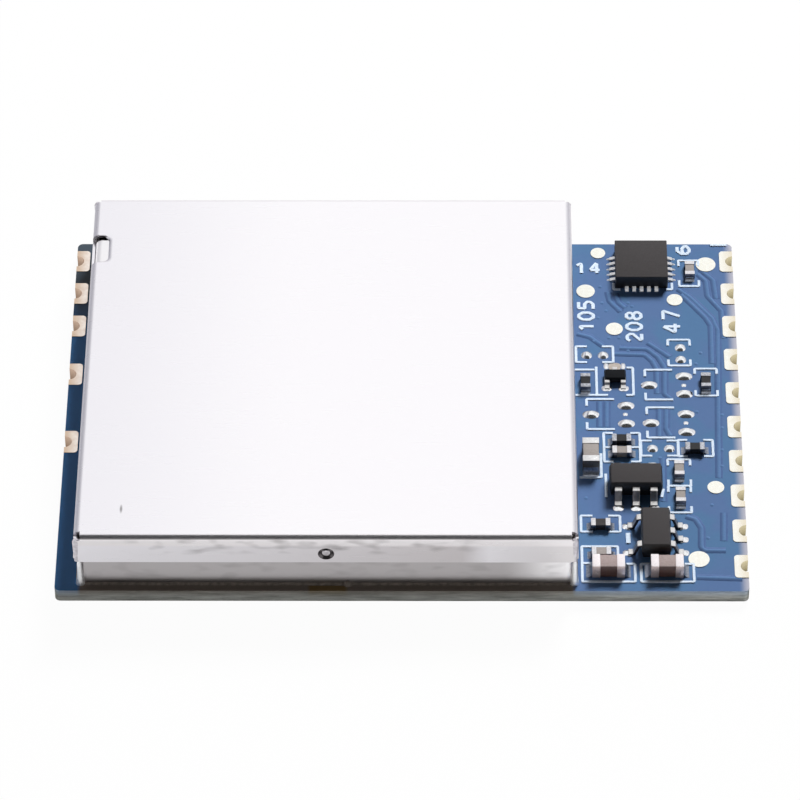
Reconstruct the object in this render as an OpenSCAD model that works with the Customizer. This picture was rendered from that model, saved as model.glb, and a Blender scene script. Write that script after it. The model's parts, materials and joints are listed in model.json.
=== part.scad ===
// Video transmitter module: a castellated circuit board, a folded two-piece shield over its radio
// section, and a strip of small parts beside the shield.
// Millimetres. +X runs along the board, +Y to its rear, +Z up. The origin is the middle of the underside.

/* [Board] */
// Thickness of the laminate
board_t = 0.8; // [0.6:0.1:1.6]
// Rounding of the board's four corners
board_corner_r = 0.3; // [0.1:0.05:0.6]
// Bare board in front of the shield
front_margin = 0.4; // [0.2:0.05:2]
// Bare board behind the shield
rear_margin = 0.2; // [0.2:0.05:2]
// Bare board to the left of the shield, where the left contacts are
left_margin = 1.15; // [1.15:0.05:4]
// Width of the parts strip between the shield and the right edge
strip_w = 9.05; // [9.05:0.05:14]
// Thickness of the copper with its plating
copper_t = 0.035; // [0.02:0.005:0.07]

/* [Edge contacts] */
// Pitch of the plated half holes
contact_pitch = 2.54; // [2.2:0.01:2.54]
// Number of contacts on the right edge
right_contacts = 10; // [4:1:10]
// Distance from the rear edge to the first contact on both sides
contact_start = 1.4; // [1.2:0.05:1.6]
// Gap between the third and the fourth contact on the left edge
left_gap = 3.7; // [2.6:0.1:5]
// Length of a contact along the edge
contact_l = 1.6; // [1.3:0.05:1.8]
// Reach of a contact in from the edge
contact_reach = 0.73; // [0.6:0.01:0.8]
// Radius of the open half hole
half_hole_r = 0.4; // [0.25:0.05:0.45]
// Wall of the plated barrel
barrel_wall = 0.06; // [0.03:0.01:0.1]
// Rounding of a contact's inner corners
contact_corner_r = 0.2; // [0.05:0.05:0.3]

/* [Shield] */
// Outer width of the shield's lid
shield_w = 26.4; // [24:0.1:34]
// Outer depth of the shield's lid
shield_d = 25.4; // [25.4:0.1:32]
// Height of the lid's top above the board
shield_h = 3.8; // [3.2:0.1:6]
// Thickness of the tinned sheet
sheet_t = 0.15; // [0.1:0.01:0.2]
// Outer radius of every fold in the sheet
bend_r = 0.35; // [0.3:0.01:0.5]
// Outer radius of the frame's four upright corners
frame_corner_r = 0.45; // [0.4:0.01:0.6]
// Height of the lid's skirts
skirt_h = 2.0; // [1.8:0.1:2.4]
// Clearance between the lid's skirts and the frame
lid_clearance = 0.03; // [0.02:0.01:0.08]
// Outward lean of the left skirt in degrees
left_flare = 3; // [0:0.5:5]
// Outward lean of the right skirt in degrees
right_flare = 1; // [0:0.5:5]
// Rounding of the skirts' lower corners
skirt_corner_r = 0.2; // [0.2:0.05:0.8]
// Width of the frame's inturned rim
rim_w = 0.9; // [0.7:0.05:1.5]
// How far the frame's foot stands out beyond its wall
foot_flare = 0.1; // [0.05:0.01:0.15]
// Distance from the lid's lower edge down to where the foot starts to stand out
foot_clearance = 0.1; // [0.05:0.01:0.2]
// Diameter of a snap dimple
dimple_d = 0.72; // [0.5:0.02:0.9]
// Depth of a snap dimple
dimple_depth = 0.12; // [0.08:0.01:0.15]
// Play of a snap dimple in its hole in the frame
dimple_play = 0.14; // [0.1:0.01:0.2]
// Distance from the lid's top to the dimples
dimple_drop = 1.35; // [1:0.05:1.4]
// Length of the pry slot along the lid's left edge
slot_l = 2.15; // [1.5:0.05:4]
// Reach of the pry slot in from the lid's left face
slot_reach = 1.12; // [0.9:0.02:1.4]
// How far the pry slot runs down the left skirt
slot_drop = 0.5; // [0.3:0.05:0.8]
// Distance from the lid's rear face to the middle of the pry slot
slot_from_rear = 4.03; // [2.5:0.01:10]
// Rounding of the pry slot's inner corners
slot_corner_r = 0.4; // [0.1:0.05:0.45]
// Distance from the middle of the frame's front wall to its seam
seam_from_middle = 1.1; // [0.8:0.05:6]
// Width of the seam
seam_gap = 0.05; // [0.03:0.01:0.1]
// Leg of the solder fillet along the frame's foot
fillet_leg = 0.12; // [0.06:0.01:0.14]

/* [Flat no-lead packages] */
// Side of the controller chip
controller_w = 2.9; // [2.8:0.05:3]
// Terminals on each side of the controller chip
controller_pins = 5; // [3:1:5]
// Pitch of the controller chip's terminals
controller_pitch = 0.41; // [0.35:0.01:0.45]
// Side of the radio chip under the shield
radio_w = 6; // [4:0.1:7]
// Terminals on each side of the radio chip
radio_pins = 10; // [6:1:12]
// Pitch of the radio chip's terminals
radio_pitch = 0.5; // [0.4:0.01:0.5]
// Side of the power amplifier chip under the shield
power_w = 3; // [2:0.1:4]
// Terminals on each side of the power amplifier chip
power_pins = 4; // [2:1:5]
// Pitch of the power amplifier chip's terminals
power_pitch = 0.5; // [0.4:0.01:0.6]
// Height of a flat package
flat_h = 0.88; // [0.7:0.01:1]
// Width of a terminal
terminal_w = 0.2; // [0.15:0.01:0.25]
// Height of a terminal at the package's side
terminal_h = 0.14; // [0.1:0.01:0.3]
// Length of a terminal under the package
terminal_l = 0.4; // [0.2:0.01:0.5]
// Length of the solder toe beyond the package
toe_l = 0.3; // [0.1:0.01:0.35]
// Height of the solder toe at its end
toe_h = 0.05; // [0.03:0.01:0.1]

/* [Gull-wing packages] */
// Length of a five-lead package
five_l = 2.85; // [2.7:0.05:2.95]
// Width of a five-lead package
five_w = 1.6; // [1.5:0.05:1.7]
// Height of a five-lead package
five_h = 1.1; // [0.9:0.05:1.3]
// Lead span of a five-lead package, tip to tip
five_span = 2.95; // [2.6:0.05:3]
// Distance from a five-lead package's top to the middle of its leads where they leave it
five_exit_drop = 0.37; // [0.3:0.01:0.5]
// Lead pitch of a five-lead package
five_pitch = 0.95; // [0.9:0.01:1]
// Lead width of a five-lead package
five_lead_w = 0.4; // [0.3:0.01:0.5]
// Length of the three-lead transistor
tiny_l = 1.2; // [1.15:0.05:1.7]
// Width of the three-lead transistor
tiny_w = 0.8; // [0.7:0.05:0.9]
// Height of the three-lead transistor
tiny_h = 0.45; // [0.4:0.05:0.8]
// Lead span of the three-lead transistor, tip to tip
tiny_span = 1.65; // [1.5:0.05:1.8]
// Distance from the three-lead transistor's top to the middle of its leads where they leave it
tiny_exit_drop = 0.19; // [0.15:0.01:0.22]
// Distance between the paired leads of the three-lead transistor
tiny_pair = 0.88; // [0.8:0.02:1]
// Lead width of the three-lead transistor
tiny_lead_w = 0.28; // [0.2:0.01:0.35]
// Thickness of the lead sheet
lead_t = 0.13; // [0.1:0.01:0.16]
// Length of a lead's flat foot
foot_l = 0.25; // [0.2:0.01:0.35]
// Fall of a lead's shoulder from the body to its bend
shoulder_dip = 0.04; // [0:0.01:0.06]
// Gap between the board and the underside of a gull-wing package
standoff = 0.08; // [0.05:0.01:0.12]
// Draft of the moulded sides, from the parting line to the top
mould_draft = 0.09; // [0.03:0.01:0.12]

/* [Chip parts] */
// Length of a large chip capacitor
large_l = 1.72; // [1.5:0.02:1.8]
// Width of a large chip capacitor
large_w = 0.9; // [0.7:0.02:0.95]
// Height of a large chip capacitor
large_h = 0.88; // [0.7:0.02:1]
// Length of a large chip capacitor's metal ends
large_end = 0.42; // [0.2:0.02:0.5]
// Height of the taller bulk capacitor
bulk_h = 1.0; // [0.8:0.02:1.2]
// Length of a small chip part
small_l = 1.04; // [0.9:0.02:1.1]
// Width of a small chip part
small_w = 0.54; // [0.45:0.01:0.58]
// Height of a small chip part
small_h = 0.42; // [0.3:0.01:0.55]
// Length of a small chip part's metal ends
small_end = 0.26; // [0.15:0.01:0.35]
// Thickness of the metal on a chip part's ends
end_plate = 0.03; // [0.02:0.005:0.05]
// Length of the crystal's ceramic base
crystal_l = 3.2; // [2.5:0.1:4]
// Width of the crystal's ceramic base
crystal_w = 2.5; // [2:0.1:3.2]
// Height of the crystal's ceramic base
crystal_base_h = 0.5; // [0.4:0.05:0.7]
// Height of the crystal's metal cover
crystal_cover_h = 0.2; // [0.1:0.05:0.4]
// Step from the base's side to the cover's side
crystal_step = 0.12; // [0.05:0.01:0.2]
// Gap between the power amplifier chip's solder and the filter coils round it
coil_gap = 0.5; // [0.3:0.05:0.6]
// Gap between the frame's left wall and the nearest filter coil
coil_wall_gap = 1.05; // [0.9:0.05:2]
// Gap between the frame's right wall and the crystal
crystal_side_gap = 3.67; // [1:0.01:5]
// Gap between the frame's rear wall and the crystal
crystal_rear_gap = 3.12; // [1:0.01:4]

/* [Solder lands] */
// Length of an empty transistor land
land_l = 0.9; // [0.7:0.02:1]
// Width of an empty transistor land
land_w = 0.58; // [0.4:0.02:0.65]
// Side of an empty chip-part land
chip_land = 0.52; // [0.4:0.02:0.6]
// Height of the solder dome on an empty land
dome_h = 0.18; // [0.1:0.01:0.25]
// Radius of the solder dome's top
dome_r = 1.0; // [0.8:0.05:2]
// Rounding of a land's corners
land_corner_r = 0.12; // [0.05:0.01:0.2]
// Lengthwise distance between a transistor footprint's single land and its pair
land_span = 1.91; // [1.7:0.01:2.1]
// Distance between the two lands of the pair
land_pair = 1.34; // [1:0.01:1.5]
// Distance between the two lands of a chip-part footprint
chip_land_span = 0.91; // [0.8:0.01:1]

/* [Hidden] */
$fn = 48;
// A small overshoot that keeps cutters from ending on a face
over = 1;

// Outline of the board and places of the shield on it
board_w = left_margin + shield_w + strip_w;
board_d = front_margin + shield_d + rear_margin;
shield_left = -board_w / 2 + left_margin;
shield_right = shield_left + shield_w;
shield_rear = board_d / 2 - rear_margin;
shield_front = shield_rear - shield_d;
shield_x = shield_left + shield_w / 2;
shield_y = shield_rear - shield_d / 2;
shield_top = board_t + shield_h;

// The frame fits inside the lid and carries its top plate
frame_inset = sheet_t + lid_clearance;
frame_w = shield_w - 2 * frame_inset;
frame_d = shield_d - 2 * frame_inset;
frame_h = shield_h - sheet_t;
flare_start = shield_h - skirt_h - foot_clearance;
dimple_hole_r = dimple_d / 2 + dimple_play;
// Distance from the lid's left face to the seam beside the front dimple
seam_from_left = shield_w / 2 + seam_from_middle;
// Inner faces of the frame's walls, from the shield's middle
inner_x = frame_w / 2 - sheet_t;
inner_y = frame_d / 2 - sheet_t;

// Places on the parts strip: u from the shield's right face, v from the board's rear edge
function strip(u, v, z = 0) = [shield_right + u, board_d / 2 - v, board_t + z];
// Places under the shield, from its middle
function inside(u, v, z = 0) = [shield_x + u, shield_y + v, board_t + z];
// Distance of the left contact number i from the first one
function left_run(i) = i < 3 ? i * contact_pitch : 2 * contact_pitch + left_gap + (i - 3) * 2 * contact_pitch;

left_contacts = 5;

// Each small part: u, v and its turn about Z in degrees
controller_at = [3.93, 2.02];
regulator_at = [3.23, 18.5];
amplifier_at = [4.2, 22.34];
transistor_at = [2.3, 10.5];
front_left_at = [1.65, 24.6];
front_right_at = [4.74, 24.6];
bulk_at = [0.86, 16.68];
small_capacitors_at = [[6.63, 2.25, 90], [2.55, 16.13, 0], [5.6, 17.45, 90], [5.62, 19.4, 90],
    [1.3, 21.42, 0], [1.3, 23.47, 0]];
small_resistors_at = [[0.68, 10.95, 90], [7.25, 10.9, 90], [2.55, 15.25, 0], [6.49, 15.87, 0]];
// Empty footprints and test pads: u, v and then turn or diameter
transistor_lands_at = [[1.9, 13.17], [5.12, 10.95], [5.15, 13.8]];
chip_lands_at = [[1.24, 8.67, 0], [5.94, 8.55, 90], [4.67, 15.7, 0]];
test_pads_at = [[1.56, 0.73, 0.82], [0.82, 3.74, 1.02], [2.35, 6.67, 0.94], [7.55, 1.63, 1.1],
    [5.74, 4.41, 0.88], [6.46, 23.75, 1.12], [7.53, 18.57, 0.9]];

// Parts under the shield, from its middle
radio_at = [1.2, 1.5];
coil_step = power_w / 2 + toe_l + coil_gap + large_l / 2;
power_at = [coil_step + large_l / 2 + coil_wall_gap - inner_x, -2.4];
crystal_at = [inner_x - crystal_side_gap - crystal_l / 2, inner_y - crystal_rear_gap - crystal_w / 2];
filter_coils_at = [[-coil_step, 0, 0], [0, -coil_step, 90], [coil_step, 0, 0]];
inner_rows = 5;
inner_pitch = 1.25;

// A rectangle with rounded corners, centred
module rounded_rect(w, d, r) {
    square([w - 2 * r, d], center = true);
    square([w, d - 2 * r], center = true);
    for (x = [-1, 1], y = [-1, 1])
        translate([x * (w / 2 - r), y * (d / 2 - r)]) circle(r);
}

// Turns a drawing in the plane of a section, outward and up, into a bar along X
module bar(l) {
    rotate([90, 0, 90]) linear_extrude(l, center = true) children();
}

// Puts one copy on each place of the right edge, with +X out of the board
module at_right_contacts() {
    for (i = [0 : right_contacts - 1])
        translate([board_w / 2, board_d / 2 - contact_start - i * contact_pitch, 0]) children();
}

// Puts one copy on each place of the left edge, with +X out of the board
module at_left_contacts() {
    for (i = [0 : left_contacts - 1])
        translate([-board_w / 2, board_d / 2 - contact_start - left_run(i), 0]) rotate(180) children();
}

// Flat land of one contact, its inner corners rounded and its outer side on the edge
module contact_outline() {
    difference() {
        rounded_rect(2 * contact_reach, contact_l, contact_corner_r);
        translate([0, -contact_l]) square([contact_reach + over, 2 * contact_l]);
    }
}

// Half of a round bar that stands on the edge, for the barrel and its hole
module half_round(r, z0, z1) {
    translate([0, 0, z0]) linear_extrude(z1 - z0) difference() {
        circle(r);
        translate([0, -2 * r]) square([2 * r, 4 * r]);
    }
}

// One plated contact: upper land, barrel and a lower land that lies flush with the underside
module contact() {
    difference() {
        union() {
            translate([0, 0, board_t]) linear_extrude(copper_t) contact_outline();
            linear_extrude(copper_t) contact_outline();
            half_round(half_hole_r + barrel_wall, 0, board_t + copper_t);
        }
        translate([0, 0, -over]) cylinder(r = half_hole_r, h = board_t + copper_t + 2 * over);
    }
}

// The room that one contact takes out of the board
module contact_pocket() {
    translate([0, 0, -over]) cylinder(r = half_hole_r + barrel_wall, h = board_t + 2 * over);
    linear_extrude(copper_t) contact_outline();
}

module circuit_board() {
    color("steelblue") difference() {
        linear_extrude(board_t) rounded_rect(board_w, board_d, board_corner_r);
        at_right_contacts() contact_pocket();
        at_left_contacts() contact_pocket();
    }
}

module right_edge_contacts() {
    color("wheat") at_right_contacts() contact();
}

module left_edge_contacts() {
    color("wheat") at_left_contacts() contact();
}

module test_pads() {
    color("ivory") for (p = test_pads_at)
        translate(strip(p[0], p[1])) cylinder(d = p[2], h = copper_t);
}

// Solder dome on one land
module solder_dome(l, w) {
    intersection() {
        linear_extrude(dome_h) rounded_rect(l, w, land_corner_r);
        translate([0, 0, dome_h - dome_r]) sphere(dome_r, $fn = 96);
    }
}

module solder_lands() {
    color("gainsboro") {
        for (p = transistor_lands_at) translate(strip(p[0], p[1])) {
            translate([-land_span / 2, 0, 0]) solder_dome(land_l, land_w);
            for (s = [-1, 1]) translate([land_span / 2, s * land_pair / 2, 0]) solder_dome(land_l, land_w);
        }
        for (p = chip_lands_at) translate(strip(p[0], p[1])) rotate(p[2])
            for (s = [-1, 1]) translate([s * chip_land_span / 2, 0, 0]) solder_dome(chip_land, chip_land);
    }
}

// Quarter of a folded strip: a ring sector from the direction a to straight up
module fold_section(a) {
    intersection() {
        difference() {
            circle(bend_r);
            circle(bend_r - sheet_t);
        }
        polygon([[0, 0], 2 * bend_r * [cos(a), sin(a)], 2 * bend_r * [1, 1], [0, 2 * bend_r]]);
    }
}

// Section of the frame's wall, outward and up from the outer edge of its foot, without the flat rim
module wall_section() {
    polygon([[0, frame_h - bend_r], [0, flare_start], [foot_flare, 0], [foot_flare - sheet_t, 0],
        [-sheet_t, flare_start], [-sheet_t, frame_h - bend_r]]);
    translate([-bend_r, frame_h - bend_r]) fold_section(0);
}

// Section of the solder fillet along the foot
module fillet_section() {
    difference() {
        translate([foot_flare - sheet_t / 2, 0]) square([fillet_leg + sheet_t / 2, fillet_leg]);
        translate([foot_flare + fillet_leg, fillet_leg]) circle(fillet_leg);
        wall_section();
    }
}

// Carries a section round the frame: four straight runs and four quarter turns
module round_the_frame() {
    run_w = frame_w - 2 * frame_corner_r;
    run_d = frame_d - 2 * frame_corner_r;
    translate([shield_x, shield_y, board_t]) {
        for (s = [0, 180]) rotate(s) translate([0, frame_d / 2, 0]) bar(run_w) children();
        for (s = [90, 270]) rotate(s) translate([0, frame_w / 2, 0]) bar(run_d) children();
        for (x = [0, 1], y = [0, 1]) mirror([x, 0, 0]) mirror([0, y, 0])
            translate([run_w / 2, run_d / 2, 0])
                rotate_extrude(angle = 90) translate([frame_corner_r, 0]) children();
    }
}

// Puts one copy at the middle of each shield face, with +Y out of it and its face at y = 0
module at_shield_faces() {
    translate([shield_x, shield_y, 0]) {
        for (s = [0, 180]) rotate(s) translate([0, shield_d / 2, 0]) children();
        for (s = [90, 270]) rotate(s) translate([0, shield_w / 2, 0]) children();
    }
}

module shield_frame() {
    rim_z = board_t + frame_h - sheet_t;
    color("darkgray") difference() {
        union() {
            round_the_frame() wall_section();
            translate([shield_x, shield_y, rim_z]) linear_extrude(sheet_t) difference() {
                rounded_rect(frame_w - 2 * bend_r, frame_d - 2 * bend_r, frame_corner_r - bend_r);
                square([frame_w - 2 * rim_w, frame_d - 2 * rim_w], center = true);
            }
        }
        at_shield_faces() translate([0, -frame_inset - sheet_t - over / 2, shield_top - dimple_drop])
            rotate([-90, 0, 0]) cylinder(r = dimple_hole_r, h = sheet_t + over);
        translate([shield_left + seam_from_left, shield_front, board_t + frame_h / 2])
            cube([seam_gap, 4 * rim_w, 2 * frame_h], center = true);
        translate([shield_left, shield_rear - slot_from_rear + slot_l / 2, rim_z])
            linear_extrude(2 * sheet_t, center = true) rounded_rect(2 * slot_reach, slot_l / 4, 0.1);
    }
}

// Section of the room behind the outer face of the frame's foot
module behind_foot_section() {
    polygon([[foot_flare, 0], [0, flare_start], [-over, flare_start], [-over, 0]]);
}

// Solder along the whole foot, with a bead where the frame's ends meet
module frame_solder() {
    bead_r = 2 * fillet_leg;
    foot_front = shield_front + frame_inset - foot_flare;
    color("silver") {
        round_the_frame() fillet_section();
        difference() {
            translate([shield_left + seam_from_left, foot_front, board_t]) sphere(bead_r);
            translate([shield_x, shield_y, board_t]) rotate(180) translate([0, frame_d / 2, 0])
                bar(frame_w - 2 * frame_corner_r) behind_foot_section();
            translate([shield_left + seam_from_left, foot_front, board_t - over])
                cube([2, 2, 2] * over, center = true);
        }
    }
}

// Flat outline of one skirt below its fold, hanging down from y = 0
module skirt_outline(l, drop) {
    translate([-l / 2, skirt_corner_r - drop]) square([l, drop - skirt_corner_r]);
    translate([-l / 2 + skirt_corner_r, -drop]) square([l - 2 * skirt_corner_r, 2 * skirt_corner_r]);
    for (s = [-1, 1]) translate([s * (l / 2 - skirt_corner_r), skirt_corner_r - drop]) circle(skirt_corner_r);
}

// One folded side of the lid, leaning out by the angle a, with its snap dimple
module lid_side(root_l, skirt_l, a) {
    drop = (skirt_h - bend_r + bend_r * sin(a)) / cos(a);
    ball_r = (pow(dimple_d / 2, 2) + pow(dimple_depth, 2)) / (2 * dimple_depth);
    dimple_z = bend_r - dimple_drop;
    translate([0, -bend_r, -bend_r]) {
        bar(root_l) fold_section(a);
        rotate([a, 0, 0]) difference() {
            union() {
                translate([0, bend_r, 0]) rotate([90, 0, 0])
                    linear_extrude(sheet_t) skirt_outline(skirt_l, drop);
                intersection() {
                    translate([0, bend_r + ball_r - dimple_depth, dimple_z]) sphere(ball_r + sheet_t);
                    translate([0, bend_r - dimple_depth - sheet_t, dimple_z])
                        cube([2 * ball_r, 2 * (dimple_depth + sheet_t / 2), 2 * ball_r], center = true);
                }
            }
            translate([0, bend_r + ball_r - dimple_depth, dimple_z]) sphere(ball_r);
        }
    }
}

module shield_lid() {
    root_w = shield_w - 2 * bend_r;
    root_d = shield_d - 2 * bend_r;
    long_skirt = shield_d - 2 * lid_clearance - 0.2;
    front_skirt = shield_w - 2 * (sheet_t + lid_clearance);
    color("whitesmoke") difference() {
        translate([shield_x, shield_y, shield_top]) {
            translate([-root_w / 2, -root_d / 2, -sheet_t]) cube([root_w, root_d, sheet_t]);
            for (s = [0, 180]) rotate(s) translate([0, shield_d / 2, 0]) lid_side(root_w, front_skirt, 0);
            rotate(90) translate([0, shield_w / 2, 0]) lid_side(root_d, long_skirt, left_flare);
            rotate(270) translate([0, shield_w / 2, 0]) lid_side(root_d, long_skirt, right_flare);
        }
        translate([shield_left, shield_rear - slot_from_rear, shield_top - slot_drop])
            linear_extrude(slot_drop + over) rounded_rect(2 * slot_reach, slot_l, slot_corner_r);
    }
}

// One terminal of a flat package: a block under its edge and a solder toe in front of it
module flat_terminal() {
    bar(terminal_w)
        polygon([[-terminal_l, 0], [toe_l, 0], [toe_l, toe_h], [0, terminal_h], [-terminal_l, terminal_h]]);
}

// All terminals of a flat package
module flat_terminals(w, pins, pitch) {
    for (s = [0 : 90 : 270], i = [0 : pins - 1])
        rotate(s) translate([(i - (pins - 1) / 2) * pitch, w / 2, 0]) flat_terminal();
}

// Moulded body of a flat package with the room for its terminals
module flat_body(w, pins, pitch) {
    difference() {
        translate([-w / 2, -w / 2, 0]) cube([w, w, flat_h]);
        flat_terminals(w, pins, pitch);
    }
}

module controller_chip() {
    color("dimgray") translate(strip(controller_at[0], controller_at[1]))
        flat_body(controller_w, controller_pins, controller_pitch);
}

module controller_terminals() {
    color("silver") translate(strip(controller_at[0], controller_at[1]))
        flat_terminals(controller_w, controller_pins, controller_pitch);
}

module radio_chip() {
    color("dimgray") translate(inside(radio_at[0], radio_at[1])) flat_body(radio_w, radio_pins, radio_pitch);
}

module radio_chip_terminals() {
    color("silver") translate(inside(radio_at[0], radio_at[1]))
        flat_terminals(radio_w, radio_pins, radio_pitch);
}

module power_amplifier_chip() {
    color("dimgray") translate(inside(power_at[0], power_at[1])) flat_body(power_w, power_pins, power_pitch);
}

module power_amplifier_terminals() {
    color("silver") translate(inside(power_at[0], power_at[1]))
        flat_terminals(power_w, power_pins, power_pitch);
}

// Section of a moulded body: sides that draft in from the parting line to the top and the underside
module mould_section(w, h, parting_z) {
    polygon([[-w / 2 + mould_draft, standoff], [w / 2 - mould_draft, standoff], [w / 2, parting_z],
        [w / 2 - mould_draft, h], [mould_draft - w / 2, h], [-w / 2, parting_z]]);
}

// Moulded block with draft on all four sides
module mould(l, w, h, parting_z) {
    intersection() {
        bar(l) mould_section(w, h, parting_z);
        rotate(90) bar(w) mould_section(l, h, parting_z);
    }
}

// One gull-wing lead that leaves the body's side at y = 0 and reaches out to its toe
module gull_lead(reach, lead_w, exit_z) {
    bite = 2 * lead_t;
    shoulder = (reach - foot_l) / 3;
    low = exit_z - lead_t / 2;
    high = exit_z + lead_t / 2;
    bar(lead_w) polygon([[-bite, low], [0, low], [shoulder - lead_t / 2, low - shoulder_dip],
        [reach - foot_l - lead_t, 0], [reach, 0], [reach, lead_t], [reach - foot_l, lead_t],
        [shoulder + lead_t / 2, high - shoulder_dip], [0, high], [-bite, high]]);
}

// Leads of a five-lead package: three in front, and the outer two behind
module five_leads() {
    reach = (five_span - five_w) / 2;
    exit_z = five_h - five_exit_drop;
    for (i = [-1, 0, 1]) translate([i * five_pitch, -five_w / 2, 0])
        rotate(180) gull_lead(reach, five_lead_w, exit_z);
    for (i = [-1, 1]) translate([i * five_pitch, five_w / 2, 0]) gull_lead(reach, five_lead_w, exit_z);
}

// Body of a five-lead package with the room for its leads
module five_body() {
    difference() {
        mould(five_l, five_w, five_h, five_h - five_exit_drop);
        five_leads();
    }
}

// Leads of the three-lead transistor: a pair in front, and one behind
module tiny_leads() {
    reach = (tiny_span - tiny_w) / 2;
    exit_z = tiny_h - tiny_exit_drop;
    for (i = [-1, 1]) translate([i * tiny_pair / 2, -tiny_w / 2, 0])
        rotate(180) gull_lead(reach, tiny_lead_w, exit_z);
    translate([0, tiny_w / 2, 0]) gull_lead(reach, tiny_lead_w, exit_z);
}

module regulator_body() {
    color("dimgray") translate(strip(regulator_at[0], regulator_at[1])) five_body();
}

module regulator_leads() {
    color("silver") translate(strip(regulator_at[0], regulator_at[1])) five_leads();
}

module amplifier_body() {
    color("dimgray") translate(strip(amplifier_at[0], amplifier_at[1])) rotate(90) five_body();
}

module amplifier_leads() {
    color("silver") translate(strip(amplifier_at[0], amplifier_at[1])) rotate(90) five_leads();
}

module transistor_body() {
    color("black") translate(strip(transistor_at[0], transistor_at[1])) difference() {
        mould(tiny_l, tiny_w, tiny_h, tiny_h - tiny_exit_drop);
        tiny_leads();
    }
}

module transistor_leads() {
    color("silver") translate(strip(transistor_at[0], transistor_at[1])) tiny_leads();
}

// Core of a chip part along X, just inside its metal ends
module chip_core(l, w, h) {
    translate([end_plate - l / 2, end_plate - w / 2, end_plate])
        cube([l - 2 * end_plate, w - 2 * end_plate, h - 2 * end_plate]);
}

// The two metal caps on a chip part's ends
module chip_ends(l, w, h, end) {
    difference() {
        for (s = [-1, 1]) translate([s * (l - end) / 2, 0, h / 2]) cube([end, w, h], center = true);
        chip_core(l, w, h);
    }
}

module front_capacitor_left() {
    color("rosybrown") translate(strip(front_left_at[0], front_left_at[1]))
        chip_core(large_l, large_w, large_h);
}

module front_capacitor_left_ends() {
    color("gainsboro") translate(strip(front_left_at[0], front_left_at[1]))
        chip_ends(large_l, large_w, large_h, large_end);
}

module front_capacitor_right() {
    color("rosybrown") translate(strip(front_right_at[0], front_right_at[1]))
        chip_core(large_l, large_w, large_h);
}

module front_capacitor_right_ends() {
    color("gainsboro") translate(strip(front_right_at[0], front_right_at[1]))
        chip_ends(large_l, large_w, large_h, large_end);
}

module bulk_capacitor() {
    color("darkgray") translate(strip(bulk_at[0], bulk_at[1])) rotate(90) chip_core(large_l, large_w, bulk_h);
}

module bulk_capacitor_ends() {
    color("gainsboro") translate(strip(bulk_at[0], bulk_at[1])) rotate(90)
        chip_ends(large_l, large_w, bulk_h, large_end);
}

// Puts one copy on the place p of a small chip part
module at_small(p) {
    translate(strip(p[0], p[1])) rotate(p[2]) children();
}

module small_capacitor(i) {
    color("tan") at_small(small_capacitors_at[i]) chip_core(small_l, small_w, small_h);
}

module small_capacitor_ends() {
    color("gainsboro") for (p = small_capacitors_at)
        at_small(p) chip_ends(small_l, small_w, small_h, small_end);
}

module small_resistor(i) {
    color("black") at_small(small_resistors_at[i]) chip_core(small_l, small_w, small_h);
}

module small_resistor_ends() {
    color("gainsboro") for (p = small_resistors_at)
        at_small(p) chip_ends(small_l, small_w, small_h, small_end);
}

// Puts one copy on each filter coil's place, round the power amplifier chip
module at_filter_coils() {
    for (p = filter_coils_at)
        translate(inside(power_at[0] + p[0], power_at[1] + p[1])) rotate(p[2]) children();
}

// Puts one copy on each bypass capacitor's place, in a row on each side of the radio chip
module at_inner_capacitors() {
    row_x = radio_w / 2 + 2 * toe_l + small_l / 2;
    for (s = [-1, 1], i = [0 : inner_rows - 1]) {
        row_y = (i - (inner_rows - 1) / 2) * inner_pitch;
        translate(inside(radio_at[0] + s * row_x, radio_at[1] + row_y)) children();
    }
}

module inner_capacitors() {
    color("tan") at_inner_capacitors() chip_core(small_l, small_w, small_h);
}

module inner_capacitor_ends() {
    color("gainsboro") at_inner_capacitors() chip_ends(small_l, small_w, small_h, small_end);
}

module filter_coils() {
    color("slategray") at_filter_coils() chip_core(large_l, large_w, large_h);
}

module filter_coil_ends() {
    color("gainsboro") at_filter_coils() chip_ends(large_l, large_w, large_h, large_end);
}

module crystal_base() {
    color("ivory") translate(inside(crystal_at[0], crystal_at[1]))
        linear_extrude(crystal_base_h) rounded_rect(crystal_l, crystal_w, crystal_step);
}

module crystal_cover() {
    color("silver") translate(inside(crystal_at[0], crystal_at[1], crystal_base_h))
        linear_extrude(crystal_cover_h)
            rounded_rect(crystal_l - 2 * crystal_step, crystal_w - 2 * crystal_step, crystal_step);
}

small_capacitor_names = [for (i = [0 : len(small_capacitors_at) - 1]) str("small_capacitor_", i + 1)];
small_resistor_names = [for (i = [0 : len(small_resistors_at) - 1]) str("small_resistor_", i + 1)];

circuit_board();
right_edge_contacts();
left_edge_contacts();
test_pads();
solder_lands();
shield_frame();
frame_solder();
shield_lid();
controller_chip();
controller_terminals();
regulator_body();
regulator_leads();
amplifier_body();
amplifier_leads();
transistor_body();
transistor_leads();
front_capacitor_left();
front_capacitor_left_ends();
front_capacitor_right();
front_capacitor_right_ends();
bulk_capacitor();
bulk_capacitor_ends();
small_capacitor_ends();
small_resistor_ends();
radio_chip();
radio_chip_terminals();
power_amplifier_chip();
power_amplifier_terminals();
crystal_base();
crystal_cover();
inner_capacitors();
inner_capacitor_ends();
filter_coils();
filter_coil_ends();
for (i = [0 : len(small_capacitors_at) - 1])
    small_capacitor(i);
for (i = [0 : len(small_resistors_at) - 1])
    small_resistor(i);
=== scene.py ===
"""Looks of the video transmitter module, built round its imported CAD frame.

Every CAD node gets a finish, moulded and chip parts get rounded edges, and the board gets its tracks,
vias, printed lines and solder joints. Metres, in the part's own frame: +X right, +Y rear, +Z up.
"""

import json
import math

import bmesh
import bpy
from mathutils import Matrix, Vector


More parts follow.
